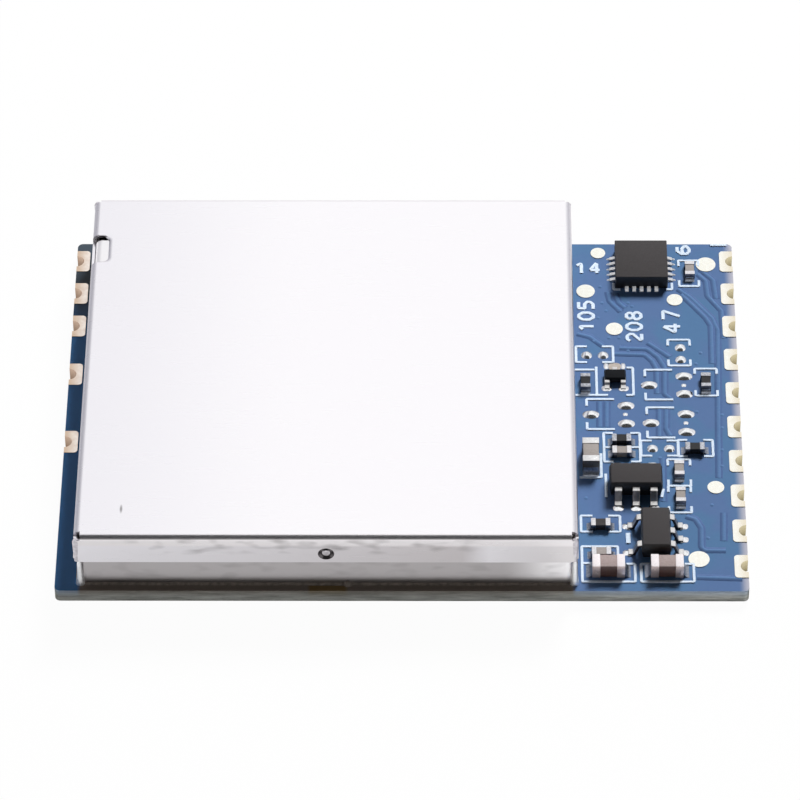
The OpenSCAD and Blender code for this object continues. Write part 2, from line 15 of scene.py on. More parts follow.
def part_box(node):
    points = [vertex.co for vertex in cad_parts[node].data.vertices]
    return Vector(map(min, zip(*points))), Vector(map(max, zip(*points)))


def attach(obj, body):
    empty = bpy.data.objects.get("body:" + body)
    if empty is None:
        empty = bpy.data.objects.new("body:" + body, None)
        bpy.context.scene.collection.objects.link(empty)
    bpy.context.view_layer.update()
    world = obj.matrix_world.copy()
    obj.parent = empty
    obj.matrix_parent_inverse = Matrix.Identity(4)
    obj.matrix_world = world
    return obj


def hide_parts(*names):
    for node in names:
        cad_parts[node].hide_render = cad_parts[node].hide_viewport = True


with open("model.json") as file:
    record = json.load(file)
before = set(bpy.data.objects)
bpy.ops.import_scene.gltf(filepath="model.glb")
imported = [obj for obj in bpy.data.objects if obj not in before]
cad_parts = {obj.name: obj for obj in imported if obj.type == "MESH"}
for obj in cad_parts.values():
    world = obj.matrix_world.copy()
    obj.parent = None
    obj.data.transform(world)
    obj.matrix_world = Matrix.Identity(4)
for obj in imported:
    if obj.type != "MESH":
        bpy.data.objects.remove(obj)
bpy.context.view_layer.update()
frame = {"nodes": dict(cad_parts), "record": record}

cad_nodes = frame["nodes"]
scene = bpy.context.scene

MM = 0.001

# The parts strip lies between the shield and the board's right edge. Places on it are u from the
# shield's right face and v from the board's rear edge, in millimetres, as in the part's source.
STRIP_WIDTH = 9.05 * MM
BOARD_LOW, BOARD_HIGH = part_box("circuit_board")
FRAME_LOW, FRAME_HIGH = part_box("shield_frame")
LID_LOW, LID_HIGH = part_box("shield_lid")
SHIELD_RIGHT = BOARD_HIGH.x - STRIP_WIDTH


def strip(u, v, z=0.0):
    """Point over the board's top face, from strip millimetres."""
    return Vector((SHIELD_RIGHT + u * MM, BOARD_HIGH.y - v * MM, BOARD_HIGH.z + z * MM))


# Helpers for colours, nodes and pieces


def srgb(code):
    """Linear colour with alpha from an sRGB hex code."""
    parts = [int(code[i : i + 2], 16) / 255 for i in (1, 3, 5)]
    return [p / 12.92 if p <= 0.04045 else ((p + 0.055) / 1.055) ** 2.4 for p in parts] + [1.0]


def add(tree, kind, inputs=(), **settings):
    """Adds one node with its settings, links or sets each named input, and gives its outputs."""
    made = tree.nodes.new(kind)
    for key, value in settings.items():
        setattr(made, key, value)
    for key, value in dict(inputs).items():
        if isinstance(value, bpy.types.NodeSocket):
            tree.links.new(value, made.inputs[key])
        else:
            made.inputs[key].default_value = value
    return made.outputs


def new_material(name, constants):
    """A material with its constants set straight on the shader's own sockets."""
    made = bpy.data.materials.new(name)
    made.use_nodes = True
    shader = made.node_tree.nodes["Principled BSDF"]
    for key, value in constants.items():
        shader.inputs[key].default_value = value
    return made, made.node_tree


def in_scene(name, data):
    """A new object at the origin, linked into the scene."""
    made = bpy.data.objects.new(name, data)
    scene.collection.objects.link(made)
    return made


def piece(name, mesh, slot, *replaced):
    """Puts a finished mesh into the scene as a piece that rides on the board."""
    made = in_scene(name, mesh)
    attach(made, "root")
    if replaced:
        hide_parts(*replaced)


# Materials

# Middle of the amber flux, left of the frame's seam
AMBER_X = -3.9 * MM
SMUDGE_GREY = "#6E6A6A"
# Resin films and mouldings that reflect little
LOW_SHEEN = {"IOR": 1.5, "Specular IOR Level": 0.15}


def lay_tones(tree, rows):
    """Colours mixed over one another, by name. A row gives its name, the two colours or earlier names
    that it mixes, the second's greatest share and the ramps that limit it: a value, where the ramp
    starts and is full, and the word eased where its ends are soft."""
    tones = {}
    for label, first, second, share, *ramps in rows:
        for value, start, full, *eased in ramps:
            reach = {"Value": value, "From Min": start, "From Max": full}
            rise = "SMOOTHSTEP" if eased else "LINEAR"
            ramp = add(tree, "ShaderNodeMapRange", reach, interpolation_type=rise)[0]
            share = add(tree, "ShaderNodeMath", {0: share, 1: ramp}, operation="MULTIPLY")[0]
        a, b = [tones[tone] if tone in tones else srgb(tone) for tone in (first, second)]
        mix = {"Factor": share, "A": a, "B": b}
        tones[label] = add(tree, "ShaderNodeMix", mix, data_type="RGBA")["Result"]
    return tones


def lay_finish(tree, colour, gloss, relief, strength, depth):
    """Links a finish's colour and gloss to its shader, and its relief as bumps, their depth in mm."""
    bumps = add(tree, "ShaderNodeBump", {"Height": relief, "Strength": strength, "Distance": depth * MM})
    shader = tree.nodes["Principled BSDF"]
    for key, value in (("Base Color", colour), ("Roughness", gloss), ("Normal", bumps["Normal"])):
        tree.links.new(value, shader.inputs[key])


def solder_mask_on_laminate():
    """Blue solder mask over FR-4. The film is glossy and bluer over copper, thinner and purplish beside
    it, and fades to bare laminate at the right edge. The routed edges show grey-green glass cloth."""
    made, tree = new_material("blue_solder_mask_on_glass_laminate", LOW_SHEEN)
    place = add(tree, "ShaderNodeTexCoord")
    at = add(tree, "ShaderNodeSeparateXYZ", {0: place["Object"]})
    facing = add(tree, "ShaderNodeSeparateXYZ", {0: place["Normal"]})
    # Copper areas a few millimetres across shift the blue. The film's own mottle is drawn at a quarter of
    # a millimetre so that it shows. The cloth's long streaks are a few hundredths of a millimetre thick.
    noises = []
    for thin, grain, detail, rough in ((1.0, 2.6, 2.0, 0.5), (1.0, 0.25, 3.0, 0.6), (9.0, 2.2, 4.0, 0.6)):
        drawn = {"Vector": place["Object"], "Scale": (1.0, 1.0, thin)}
        grains = {"Scale": 1 / (grain * MM), "Detail": detail, "Roughness": rough}
        grains["Vector"] = add(tree, "ShaderNodeMapping", drawn)[0]
        noises.append(add(tree, "ShaderNodeTexNoise", grains)["Fac"])
    pour, mottle, cloth = noises
    from_amber = add(tree, "ShaderNodeMath", {0: at["X"], 1: AMBER_X}, operation="SUBTRACT")[0]
    from_amber = add(tree, "ShaderNodeMath", {0: from_amber}, operation="ABSOLUTE")[0]
    before_frame = (at["Y"], FRAME_LOW.y + 0.32 * MM, FRAME_LOW.y + 0.12 * MM)
    by_shield = [
        (at["X"], FRAME_HIGH.x, FRAME_HIGH.x - 0.2 * MM),
        (at["X"], FRAME_LOW.x - 0.05 * MM, FRAME_LOW.x + 0.15 * MM),
    ]
    rows = [
        ("mask", "#59749F", "#54789F", 1.0, (pour, 0.42, 0.58, "eased")),
        ("mask", "mask", "#46608B", 0.25, (mottle, 0.0, 1.0)),
        # Left of the shield the mask lies on bare laminate: deep blue, with painted shade that makes it
        # nearly black towards the rear
        ("deep_blue", "#467EBA", "#434D57", 1.0, (at["Y"], 5.5 * MM, 9.0 * MM)),
        ("mask", "mask", "deep_blue", 1.0, (at["X"], -15.5 * MM, -16.8 * MM)),
        # In front of the shield the border is browned by flux, thick and amber left of the frame's seam
        ("flux", "#857A70", "#806A44", 1.0, (from_amber, 1.1 * MM, 0.9 * MM)),
        ("mask", "mask", "flux", 1.0, before_frame, *by_shield),
        # The mask thins out towards the right edge, where bare laminate shows between the contacts
        ("mask", "mask", "#B4B4C0", 1.0, (at["X"], 17.75 * MM, 18.3 * MM, "eased")),
        # It runs a little way down the edge's cloth, and flux has run over it in front of the shield
        ("edge", "#AEB0AA", "#F6F8F2", 1.0, (cloth, 0.34, 0.68)),
        ("run_over", "#9AB0CC", "flux", 1.0, *by_shield),
        ("edge", "edge", "run_over", 0.8, (at["Z"], 0.35 * BOARD_HIGH.z, BOARD_HIGH.z)),
    ]
    tones = lay_tones(tree, rows)
    # Painted light on the front edge: the other three edges, which the lamp lights, are multiplied darker, so
    # that only the front edge keeps its lighter cloth
    painted_edge_dimming = add(tree, "ShaderNodeMapRange", {"Value": facing["Y"], "From Min": -0.9, "From Max": -0.3})[0]
    edge = {"Factor": painted_edge_dimming, "A": tones["edge"], "B": srgb("#A6A89C")}
    edge = add(tree, "ShaderNodeMix", edge, data_type="RGBA", blend_type="MULTIPLY")["Result"]
    level = add(tree, "ShaderNodeMath", {0: facing["Z"]}, operation="ABSOLUTE")[0]
    level = add(tree, "ShaderNodeMath", {0: level, 1: 0.5}, operation="GREATER_THAN")[0]
    board = {"Factor": level, "A": edge, "B": tones["mask"]}
    board = add(tree, "ShaderNodeMix", board, data_type="RGBA")["Result"]
    gloss = add(tree, "ShaderNodeMapRange", {"Value": level, "To Min": 0.7, "To Max": 0.3})[0]
    lay_finish(tree, board, gloss, mottle, 0.25, 0.01)
    return made


def grained(
    name, colour, tint, grain, roughness, spread, bump,
    shifted_along_x=None, sides=None, foot=None, turned=(0.6, 0.3), **constants,
):
    """A finish with two close colours, uneven gloss and fine relief from one grain, in millimetres.
    It turns to another colour between two places along X. Upright faces take the sides' colour, painted
    shade, where one is given, from the turn of their normals on, and run down to the foot's colour, more
    painted shade, at the board's underside."""
    made, tree = new_material(name, constants)
    place = add(tree, "ShaderNodeTexCoord")
    grains = {"Vector": place["Object"], "Scale": 1 / (grain * MM), "Detail": 4.0, "Roughness": 0.6}
    noise = add(tree, "ShaderNodeTexNoise", grains)["Fac"]
    thin, thick = 0.35, 0.65
    rows = [("body", colour, tint, 1.0, (noise, thin, thick))]
    if shifted_along_x:
        across = add(tree, "ShaderNodeSeparateXYZ", {0: place["Object"]})["X"]
        rows.append(("body", "body", shifted_along_x[2], 1.0, (across, shifted_along_x[0] * MM, shifted_along_x[1] * MM)))
    if foot:
        height = add(tree, "ShaderNodeSeparateXYZ", {0: place["Object"]})["Z"]
        rows.append(("side", sides, foot, 1.0, (height, BOARD_HIGH.z, BOARD_LOW.z)))
    if sides:
        facing = add(tree, "ShaderNodeSeparateXYZ", {0: place["Normal"]})["Z"]
        rows.append(("body", "body", "side" if foot else sides, 1.0, (facing, *turned)))
    evenness = {"Value": noise, "From Min": thin, "From Max": thick}
    evenness |= {"To Min": roughness - spread, "To Max": roughness + spread}
    gloss = add(tree, "ShaderNodeMapRange", evenness)[0]
    lay_finish(tree, lay_tones(tree, rows)["body"], gloss, noise, bump, 0.02)
    return made


def tinned_sheet(name, bright, dull, ramps, roughness, smudge, smudged, bands=(), folds=(), marks=()):
    """Tin-plated steel sheet, rolled and folded: nearly white, satin, with faint rolling lines along X.
    Painted light and shade make it darker away from the bright end of each ramp, an axis with two places
    in millimetres. Its upright sides carry grey handling smudges inside the smudged ramps, and bands of
    painted shade and painted highlight: an axis, the places where the band comes in and goes out, and
    its colour. Folds take a colour of painted shade as their normal turns along an axis. Marks are
    scratches: their middle and half sizes."""
    made, tree = new_material(name, {"Metallic": 1.0})
    place = add(tree, "ShaderNodeTexCoord")
    at = add(tree, "ShaderNodeSeparateXYZ", {0: place["Object"]})
    facing = add(tree, "ShaderNodeSeparateXYZ", {0: place["Normal"]})
    # Smudges are blots half a millimetre long. Rolling lines lie an eighth of a millimetre apart, much
    # longer than wide.
    noises = []
    for scale, grain, detail, rough in (
        ((0.5, 0.5, 1.3), 0.5, 0.6, 0.5),
        ((0.04, 1.0, 1.0), 0.12, 3.0, 0.6),
    ):
        grains = {"Scale": 1 / (grain * MM), "Detail": detail, "Roughness": rough}
        grains["Vector"] = add(tree, "ShaderNodeMapping", {"Vector": place["Object"], "Scale": scale})[0]
        noises.append(add(tree, "ShaderNodeTexNoise", grains)["Fac"])
    smear, rolling = noises
    share = 0.0
    for axis, start, stop in ramps:
        reach = {"Value": at[axis], "From Min": start * MM, "From Max": stop * MM}
        ramp = add(tree, "ShaderNodeMapRange", reach, interpolation_type="SMOOTHSTEP")[0]
        share = add(tree, "ShaderNodeMath", {0: share, 1: ramp}, operation="MAXIMUM")[0]
    rows = [("sheet", dull, bright, share)]
    for axis, start, stop, shade in folds:
        rows.append(("sheet", "sheet", shade, 1.0, (facing[axis], start, stop)))
    upright = (facing["Z"], 0.5, 0.2)
    for axis, comes_in, goes_out, shade in bands:
        limits = [(at[axis], start * MM, stop * MM) for start, stop in (comes_in, goes_out)]
        rows.append(("sheet", "sheet", shade, 1.0, upright, *limits))
    limits = [(at[axis], start * MM, stop * MM) for axis, start, stop in smudged]
    rows.append(("sheet", "sheet", SMUDGE_GREY, smudge, (smear, 0.5, 0.85), upright, *limits))
    for middle, half in marks:
        drawn = {
            "Vector": place["Object"],
            "Location": (-middle[0] / half[0], -middle[1] / half[1], 0.0),
            "Scale": (1 / (half[0] * MM), 1 / (half[1] * MM), 0.0),
        }
        mark_at = add(tree, "ShaderNodeMapping", drawn)[0]
        reach = add(tree, "ShaderNodeVectorMath", {0: mark_at}, operation="LENGTH")["Value"]
        rows.append(("sheet", "sheet", SMUDGE_GREY, 0.75, (reach, 1.0, 0.3)))
    evenness = {"Value": rolling, "To Min": roughness - 0.02, "To Max": roughness + 0.02}
    gloss = add(tree, "ShaderNodeMapRange", evenness)[0]
    lay_finish(tree, lay_tones(tree, rows)["sheet"], gloss, rolling, 0.005, 0.01)
    return made


mask_board = solder_mask_on_laminate()

# Each grained finish gives two colours, its grain in millimetres, roughness and spread, and relief

# Mask over a raised copper track: the same film, a little lighter where it lies on copper
mask_track = grained("solder_mask_on_track", "#5A7AA5", "#5675A0", 0.3, 0.3, 0.05, 0.1, **LOW_SHEEN)
# Mask over the etched gap beside a track, with no copper below
mask_gap = grained("solder_mask_on_gap", "#4F6995", "#4C648E", 0.3, 0.32, 0.05, 0.1, **LOW_SHEEN)
# Screen-printed white epoxy ink, flat and slightly ragged
print_ink = grained("white_screen_ink", "#E2EDF9", "#CEDFF2", 0.08, 0.6, 0.1, 0.2, IOR=1.5)
# Immersion gold on nickel: thin, pale and satin on the lands; painted shade makes it deeper and browner down
# the half holes
gold = grained(
    "immersion_gold", "#FFFEF8", "#FCF8EC", 0.3, 0.28, 0.05, 0.06,
    shifted_along_x=(17.75, 18.3, "#F0E6D0"), sides="#D6CAA6", foot="#988C6A", Metallic=1.0,
)
# The left contacts' gold, rosier than the right ones', with painted shade deeper and browner down their half
# holes
rosy_gold = grained(
    "rosy_immersion_gold", "#FCF2E8", "#F2E2D6", 0.3, 0.36, 0.05, 0.06,
    shifted_along_x=(-17.7, -18.2, "#DCC4AE"), sides="#D8BCA6", foot="#A88C78", Metallic=1.0,
)
# The test pads' gold, paler for its thin solder levelling
pale_gold = grained("tinned_test_pad", "#FFFFF8", "#FBF9EE", 0.2, 0.24, 0.05, 0.08, Metallic=1.0)
# Reflowed tin solder, smooth and mirror-like with faint frost
solder = grained("reflowed_solder", "#FAFBFC", "#ECEEF0", 0.15, 0.17, 0.04, 0.06, Metallic=1.0)
# A bare gold land, tan where the flux has stained it
bare_land = grained("stained_gold_land", "#D8CEC4", "#C6BCB2", 0.15, 0.42, 0.05, 0.1, Metallic=1.0)
# Solder drawn up a chip part's ends, thin and frosted; its dark grey-blue is painted shade and a painted
# reflection of the blue board
thin_solder = grained("thin_frosted_solder_painted_shade", "#A4AAB6", "#848A96", 0.1, 0.4, 0.08, 0.2, Metallic=1.0)
# Solder toes of the flat package, dull white
toe_solder = grained("dull_solder_toes", "#FBFBFC", "#EDEEF0", 0.1, 0.65, 0.06, 0.2, Metallic=1.0)
# Solder runs up the frame's corners, satin from slow cooling
run_solder = grained("satin_solder_runs", "#FFFFFF", "#F6F7F9", 0.15, 0.45, 0.05, 0.08, Metallic=1.0)
# Solder along the shield, under brown flux residue, and darkened further with painted shade
fluxed_shaded_solder = grained("solder_flux_and_painted_shade", "#82776E", "#665D55", 0.3, 0.5, 0.1, 0.2, Metallic=0.1)
# Bright tinned lid, smudged where its front is handled. Painted light brightens it towards the right; painted
# shade greys its upright sides and folds, darkest along the front fold, with a painted highlight just below
# that fold
lid_tin = tinned_sheet(
    "tinned_steel_lid", "#FEFCFF", "#F4F2F7", [("X", -17.6, -5.0)], roughness=0.28, smudge=0.5,
    smudged=[("Z", 3.1, 3.5), ("X", -15.5, -12.5), ("X", 4.4, 2.6)],
    bands=[
        ("X", (-17.0, 2.6), (4.6, 3.2), "#D3CED0"),
        ("X", (3.6, 9.4), (20.0, 19.0), "#DCD8D9"),
        ("Z", (3.78, 3.95), (4.4, 4.3), "#F2EEF0"),
    ],
    folds=[
        ("X", -0.1, -0.9, "#A6A4B0"),
        ("X", 0.1, 0.6, "#D4D2D8"),
        ("Y", 0.1, 0.7, "#CFC7CE"),
        ("Y", -0.82, -0.93, "#666265"),
        ("Y", -0.985, -0.999, "#F4F2F7"),
    ],
    marks=[((-14.71, -10.65), (0.09, 0.36))],
)
# The tinned frame: painted shade greys its wall and fades out towards its top, painted light brightens its
# right end, and more painted shade darkens its foot
frame_tin = tinned_sheet(
    "tinned_steel_frame", "#FAF8FA", "#BFBBBC", [("Z", 3.0, 4.2), ("X", 5.2, 8.2)],
    roughness=0.34, smudge=0.25, smudged=[("Z", 0.8, 1.0)],
    bands=[("Z", (0.0, 0.1), (1.4, 0.85), "#9A9494")],
)
# The lid's pressed dimples: painted shade makes their walls dark, with a bright flat middle
cup_tin = grained("shaded_tin_in_dimple", "#6E6A6C", "#575355", 0.1, 0.3, 0.05, 0.1, Metallic=1.0)
boss_tin = grained("bright_tin_in_dimple", "#D2CED2", "#B4B0B4", 0.1, 0.3, 0.05, 0.1, Metallic=1.0)
# The lid's corners, dull and greyed with painted shade where the folds meet
corner_tin = grained("shaded_dull_tin_corners", "#DEDAE0", "#C4C0C6", 0.2, 0.4, 0.05, 0.1, Metallic=1.0)
# Black epoxy moulding compound with a fine sandy grain; painted shade makes its upright sides near black
epoxy = grained(
    "black_epoxy_moulding", "#2C2829", "#242021", 0.05, 0.5, 0.06, 0.3, sides="#0E0D0F", IOR=1.58
)
# The transistor's moulding is near black
dark_epoxy = grained("dark_epoxy_moulding", "#0A0D12", "#07090C", 0.05, 0.5, 0.06, 0.2, **LOW_SHEEN)
# Matte tin on copper leads; painted shade darkens their upright faces
lead_tin = grained(
    "matte_tin_leads", "#F4F3F2", "#E2E0DE", 0.08, 0.4, 0.06, 0.2, sides="#544F52", Metallic=1.0
)
# Fired metal ends of chip parts, tinned and slightly pink; painted shade darkens their upright faces
end_tin = grained(
    "tinned_chip_ends", "#FBF5F7", "#EEE6E8", 0.08, 0.33, 0.06, 0.15, sides="#E2CECA", Metallic=0.55
)
# The same on small parts: greyer, and dark as soon as they turn from the light
small_end_tin = grained(
    "tinned_small_ends", "#F4F3F5", "#DDDBDF", 0.08, 0.33, 0.06, 0.15,
    sides="#77757C", turned=(0.95, 0.5), Metallic=1.0,
)
# The resistors' ends are dull, with solder smeared over them; painted shade darkens them as soon as they turn
# from the top
dull_end_tin = grained(
    "dull_resistor_ends", "#DADCE2", "#A6A8B0", 0.12, 0.36, 0.06, 0.2,
    sides="#5E6068", turned=(0.97, 0.5), Metallic=1.0,
)
# The tall capacitor's ends, bright on top and dark down their faces with painted shade
tall_end_tin = grained(
    "tinned_tall_ends", "#F6F6F6", "#DEDEDF", 0.08, 0.33, 0.06, 0.15, sides="#7C7064", Metallic=0.8
)
# Brown, grey, dark, cream and slate fired ceramics; the brown one's upright faces carry painted shade
brown_ceramic = grained(
    "brown_fired_ceramic", "#A99997", "#988885", 0.07, 0.42, 0.06, 0.2, sides="#5E443E", IOR=1.6
)
grey_ceramic = grained("grey_fired_ceramic", "#A29B97", "#938C88", 0.07, 0.42, 0.06, 0.2, IOR=1.6)
dark_ceramic = grained("dark_fired_ceramic", "#2B2526", "#201B1C", 0.07, 0.42, 0.06, 0.2, IOR=1.6)
cream_ceramic = grained("cream_fired_ceramic", "#DAD4C6", "#CEC7B7", 0.07, 0.5, 0.06, 0.2, IOR=1.6)
slate_ceramic = grained("slate_ferrite_ceramic", "#4C5158", "#42464D", 0.07, 0.5, 0.06, 0.2, IOR=1.6)
# Black glaze over a chip resistor's film
glaze = grained("black_resistor_glaze", "#17171A", "#101012", 0.06, 0.4, 0.05, 0.2, IOR=1.5)

SMALL_CAPACITORS = [f"small_capacitor_{i}" for i in range(1, 7)]
SMALL_RESISTORS = [f"small_resistor_{i}" for i in range(1, 5)]
LARGE_CAPACITORS = ["front_capacitor_left", "front_capacitor_right", "bulk_capacitor"]
FINISHES = {
    mask_board: ["circuit_board"],
    gold: ["right_edge_contacts"],
    rosy_gold: ["left_edge_contacts"],
    pale_gold: ["test_pads"],
    solder: ["solder_lands"],
    fluxed_shaded_solder: ["frame_solder"],
    lid_tin: ["shield_lid"],
    frame_tin: ["shield_frame"],
    epoxy: ["controller_chip", "regulator_body", "amplifier_body", "radio_chip", "power_amplifier_chip"],
    dark_epoxy: ["transistor_body"],
    toe_solder: ["controller_terminals"],
    lead_tin: [
        "regulator_leads", "amplifier_leads", "transistor_leads",
        "radio_chip_terminals", "power_amplifier_terminals", "crystal_cover",
    ],
    end_tin: [
        "front_capacitor_left_ends", "front_capacitor_right_ends", "inner_capacitor_ends", "filter_coil_ends",
    ],
    small_end_tin: ["small_capacitor_ends"],
    dull_end_tin: ["small_resistor_ends"],
    tall_end_tin: ["bulk_capacitor_ends"],
    brown_ceramic: ["front_capacitor_left", "front_capacitor_right"],
    grey_ceramic: ["bulk_capacitor", "inner_capacitors"] + SMALL_CAPACITORS,
    # The fifth small capacitor is of a darker kind, so this row comes after the grey one's
    dark_ceramic: ["small_capacitor_5"],
    glaze: SMALL_RESISTORS,
    cream_ceramic: ["crystal_base"],
    slate_ceramic: ["filter_coils"],
}
slot_of = {row["node"]: row["material_slot"] for row in frame["record"]["subparts"]}
for made, names in FINISHES.items():
    for name in names:
        cad_nodes[name].data.materials.clear()
        cad_nodes[name].data.materials.append(made)


# Rounded edges on moulded and chip parts

EDGE_ROUNDING = {
    "controller_chip": 0.03, "regulator_body": 0.05, "amplifier_body": 0.05, "transistor_body": 0.04,
    "regulator_leads": 0.045, "amplifier_leads": 0.045, "transistor_leads": 0.04,
    "front_capacitor_left": 0.03, "front_capacitor_right": 0.03,
    "front_capacitor_left_ends": 0.06, "front_capacitor_right_ends": 0.06,
    "bulk_capacitor": 0.03, "bulk_capacitor_ends": 0.06,
    "small_capacitor_ends": 0.06, "small_resistor_ends": 0.06,
}


def merged_mesh(name):
    """A copy of a CAD node's mesh with its corners joined and its flat areas made single faces."""
    mesh = cad_nodes[name].data.copy()
    work = bmesh.new()
    work.from_mesh(mesh)
    bmesh.ops.remove_doubles(work, verts=work.verts, dist=0.0002 * MM)
    bmesh.ops.dissolve_limit(work, angle_limit=math.radians(1), verts=work.verts, edges=work.edges)
    work.to_mesh(mesh)
    work.free()
    return mesh


def finished_mesh(name, work, *materials):
    """The mesh of a worked shape, with its faces turned outwards and its materials."""
    bmesh.ops.recalc_face_normals(work, faces=work.faces)
    mesh = bpy.data.meshes.new(name)
    work.to_mesh(mesh)
    work.free()
    for made in materials:
        mesh.materials.append(made)
    return mesh


def skin_over(name, rows, *materials):
    """A closed mesh over rows of points, with a face at each end."""
    work = bmesh.new()
    made = [[work.verts.new(p) for p in row] for row in rows]
    for near, far in zip(made, made[1:]):
        for i in range(len(near)):
            k = (i + 1) % len(near)
            work.faces.new((near[i], near[k], far[k], far[i]))
    work.faces.new(made[0])
    work.faces.new(made[-1])
    return finished_mesh(name, work, *materials)


def with_modifier(mesh, kind, sockets=(), **settings):
    """The plain mesh that one modifier makes of another, with its settings and node tree inputs."""
    source = in_scene("source", mesh)
    modifier = source.modifiers.new("step", kind)
    for key, value in settings.items():
        setattr(modifier, key, value)
    for identifier, value in dict(sockets).items():
        modifier[identifier] = value
    graph = bpy.context.evaluated_depsgraph_get()
    final = bpy.data.meshes.new_from_object(source.evaluated_get(graph))
    bpy.data.objects.remove(source)
    return final


def smooth_but_sharp(mesh, angle):
    """Shades a mesh smooth, except over edges sharper than the angle in degrees."""
    mesh.shade_smooth()
    mesh.set_sharp_from_angle(angle=math.radians(angle))


for name, radius in EDGE_ROUNDING.items():
    rounded = with_modifier(
        merged_mesh(name), "BEVEL", width=radius * MM, segments=3,
        limit_method="ANGLE", angle_limit=math.radians(35),
    )
    smooth_but_sharp(rounded, 40)
    piece(name + "_rounded", rounded, slot_of[name], name)


# The lid, with its front and rear snap dimples pressed in deep

SHIELD_WIDTH = 26.4
DIMPLE_DROP = 1.35
DIMPLE_RADIUS = 0.43
CUTTER_DEPTH = 0.9
# Radius and depth along the pressed cup's face, then along its back
CUP_FACE = [
    (0.435, 0.0), (0.41, 0.015), (0.36, 0.09), (0.31, 0.14), (0.26, 0.13), (0.22, 0.07), (0.18, 0.05),
]
CUP_BACK = [(0.18, 0.24), (0.32, 0.24), (0.435, 0.13)]
CUP_SIDES = 40

cutter = bmesh.new()
cups = bmesh.new()
for face_y, inward in ((LID_LOW.y, 1), (LID_HIGH.y, -1)):
    middle = Vector((SHIELD_RIGHT - SHIELD_WIDTH / 2 * MM, face_y, LID_HIGH.z - DIMPLE_DROP * MM))
    bmesh.ops.create_cone(
        cutter, cap_ends=True, segments=CUP_SIDES,
        radius1=DIMPLE_RADIUS * MM, radius2=DIMPLE_RADIUS * MM, depth=CUTTER_DEPTH * MM,
        matrix=Matrix.Translation(middle) @ Matrix.Rotation(math.pi / 2, 4, "X"),
    )
    rings = []
    for radius, depth in CUP_FACE + CUP_BACK:
        ring = []
        for i in range(CUP_SIDES):
            turn = 2 * math.pi * i / CUP_SIDES
            offset = Vector((radius * math.cos(turn), inward * depth, radius * math.sin(turn)))
            ring.append(cups.verts.new(middle + offset * MM))
        rings.append(ring)
    boss = rings[len(CUP_FACE) - 1]
    for ring, following in zip(rings, rings[1:] + rings[:1]):
        if ring is boss:
            cups.faces.new(ring).material_index = 1
            cups.faces.new(following)
            continue
        for i in range(CUP_SIDES):
            k = (i + 1) % CUP_SIDES
            face = cups.faces.new((ring[i], ring[k], following[k], following[i]))
            face.material_index = int(following is boss)
cutter_object = in_scene("dimple_cutter", finished_mesh("dimple_cutter", cutter))
lid_mesh = with_modifier(
    merged_mesh("shield_lid"), "BOOLEAN", object=cutter_object, operation="DIFFERENCE", solver="EXACT"
)
bpy.data.objects.remove(cutter_object)
smooth_but_sharp(lid_mesh, 30)
lid_mesh = with_modifier(lid_mesh, "WEIGHTED_NORMAL", keep_sharp=True)
piece("folded_lid", lid_mesh, "lid_steel", "shield_lid")
cup_mesh = finished_mesh("snap_cups", cups, cup_tin, boss_tin)
smooth_but_sharp(cup_mesh, 50)
piece("snap_cups", cup_mesh, "lid_steel")

# The pry slot's rolled lip, drawn down from the lid's top: its outline runs along the rear, round to the
# right and back along the front, and closes in from the cut edge to the lip's own edge

SLOT_FROM_REAR = 4.03
SLOT_REACH = 1.12
SLOT_LENGTH = 2.15
SLOT_CORNER = 0.4
SLOT_START = 0.36
LIP_RIGHT = 0.2
LIP_REAR = 0.06
LIP_FRONT = 0.16
LIP_CORNER = 0.35
LIP_DROP = 0.14
LIP_BELOW = 0.005
LIP_STEPS = 6
CORNER_STEPS = 8
lid_left = SHIELD_RIGHT - SHIELD_WIDTH * MM
slot_rear = LID_HIGH.y - (SLOT_FROM_REAR - SLOT_LENGTH / 2) * MM
slot_front = slot_rear - SLOT_LENGTH * MM


def slot_outline(right, rear, front, radius):
    """Points along the slot's edge from its rear left to its front left, in metres."""
    start = (lid_left + SLOT_START * MM, rear)
    points = [start]
    for centre_y, first in ((rear - radius, math.pi / 2), (front + radius, 0.0)):
        for i in range(CORNER_STEPS + 1):
            turn = first - math.pi / 2 * i / CORNER_STEPS
            points.append((right - radius + radius * math.cos(turn), centre_y + radius * math.sin(turn)))
    return points + [(start[0], front)]


cut_edge = slot_outline(lid_left + SLOT_REACH * MM, slot_rear, slot_front, SLOT_CORNER * MM)
lip_edge = slot_outline(
    lid_left + (SLOT_REACH - LIP_RIGHT) * MM,
    slot_rear - LIP_REAR * MM,
    slot_front + LIP_FRONT * MM,
    LIP_CORNER * MM,
)
sections = []
for (cut_x, cut_y), (lip_x, lip_y) in zip(cut_edge, lip_edge):
    section = []
    for i in range(LIP_STEPS + 1):
        share = math.sin(math.pi / 2 * i / LIP_STEPS)
        fall = LIP_DROP * (1 - math.cos(math.pi / 2 * i / LIP_STEPS))
        section.append(
            (cut_x + (lip_x - cut_x) * share, cut_y + (lip_y - cut_y) * share, LID_HIGH.z - fall * MM)
        )
    section.append((cut_x, cut_y, LID_HIGH.z - (LIP_DROP + LIP_BELOW) * MM))
    sections.append(section)
lip_mesh = skin_over("slot_lip", sections, lid_tin)
smooth_but_sharp(lip_mesh, 40)
piece("slot_lip", lip_mesh, "lid_steel")

# Solder drawn up the seam where the frame's ends meet: foot and wall of the seam, just behind the face

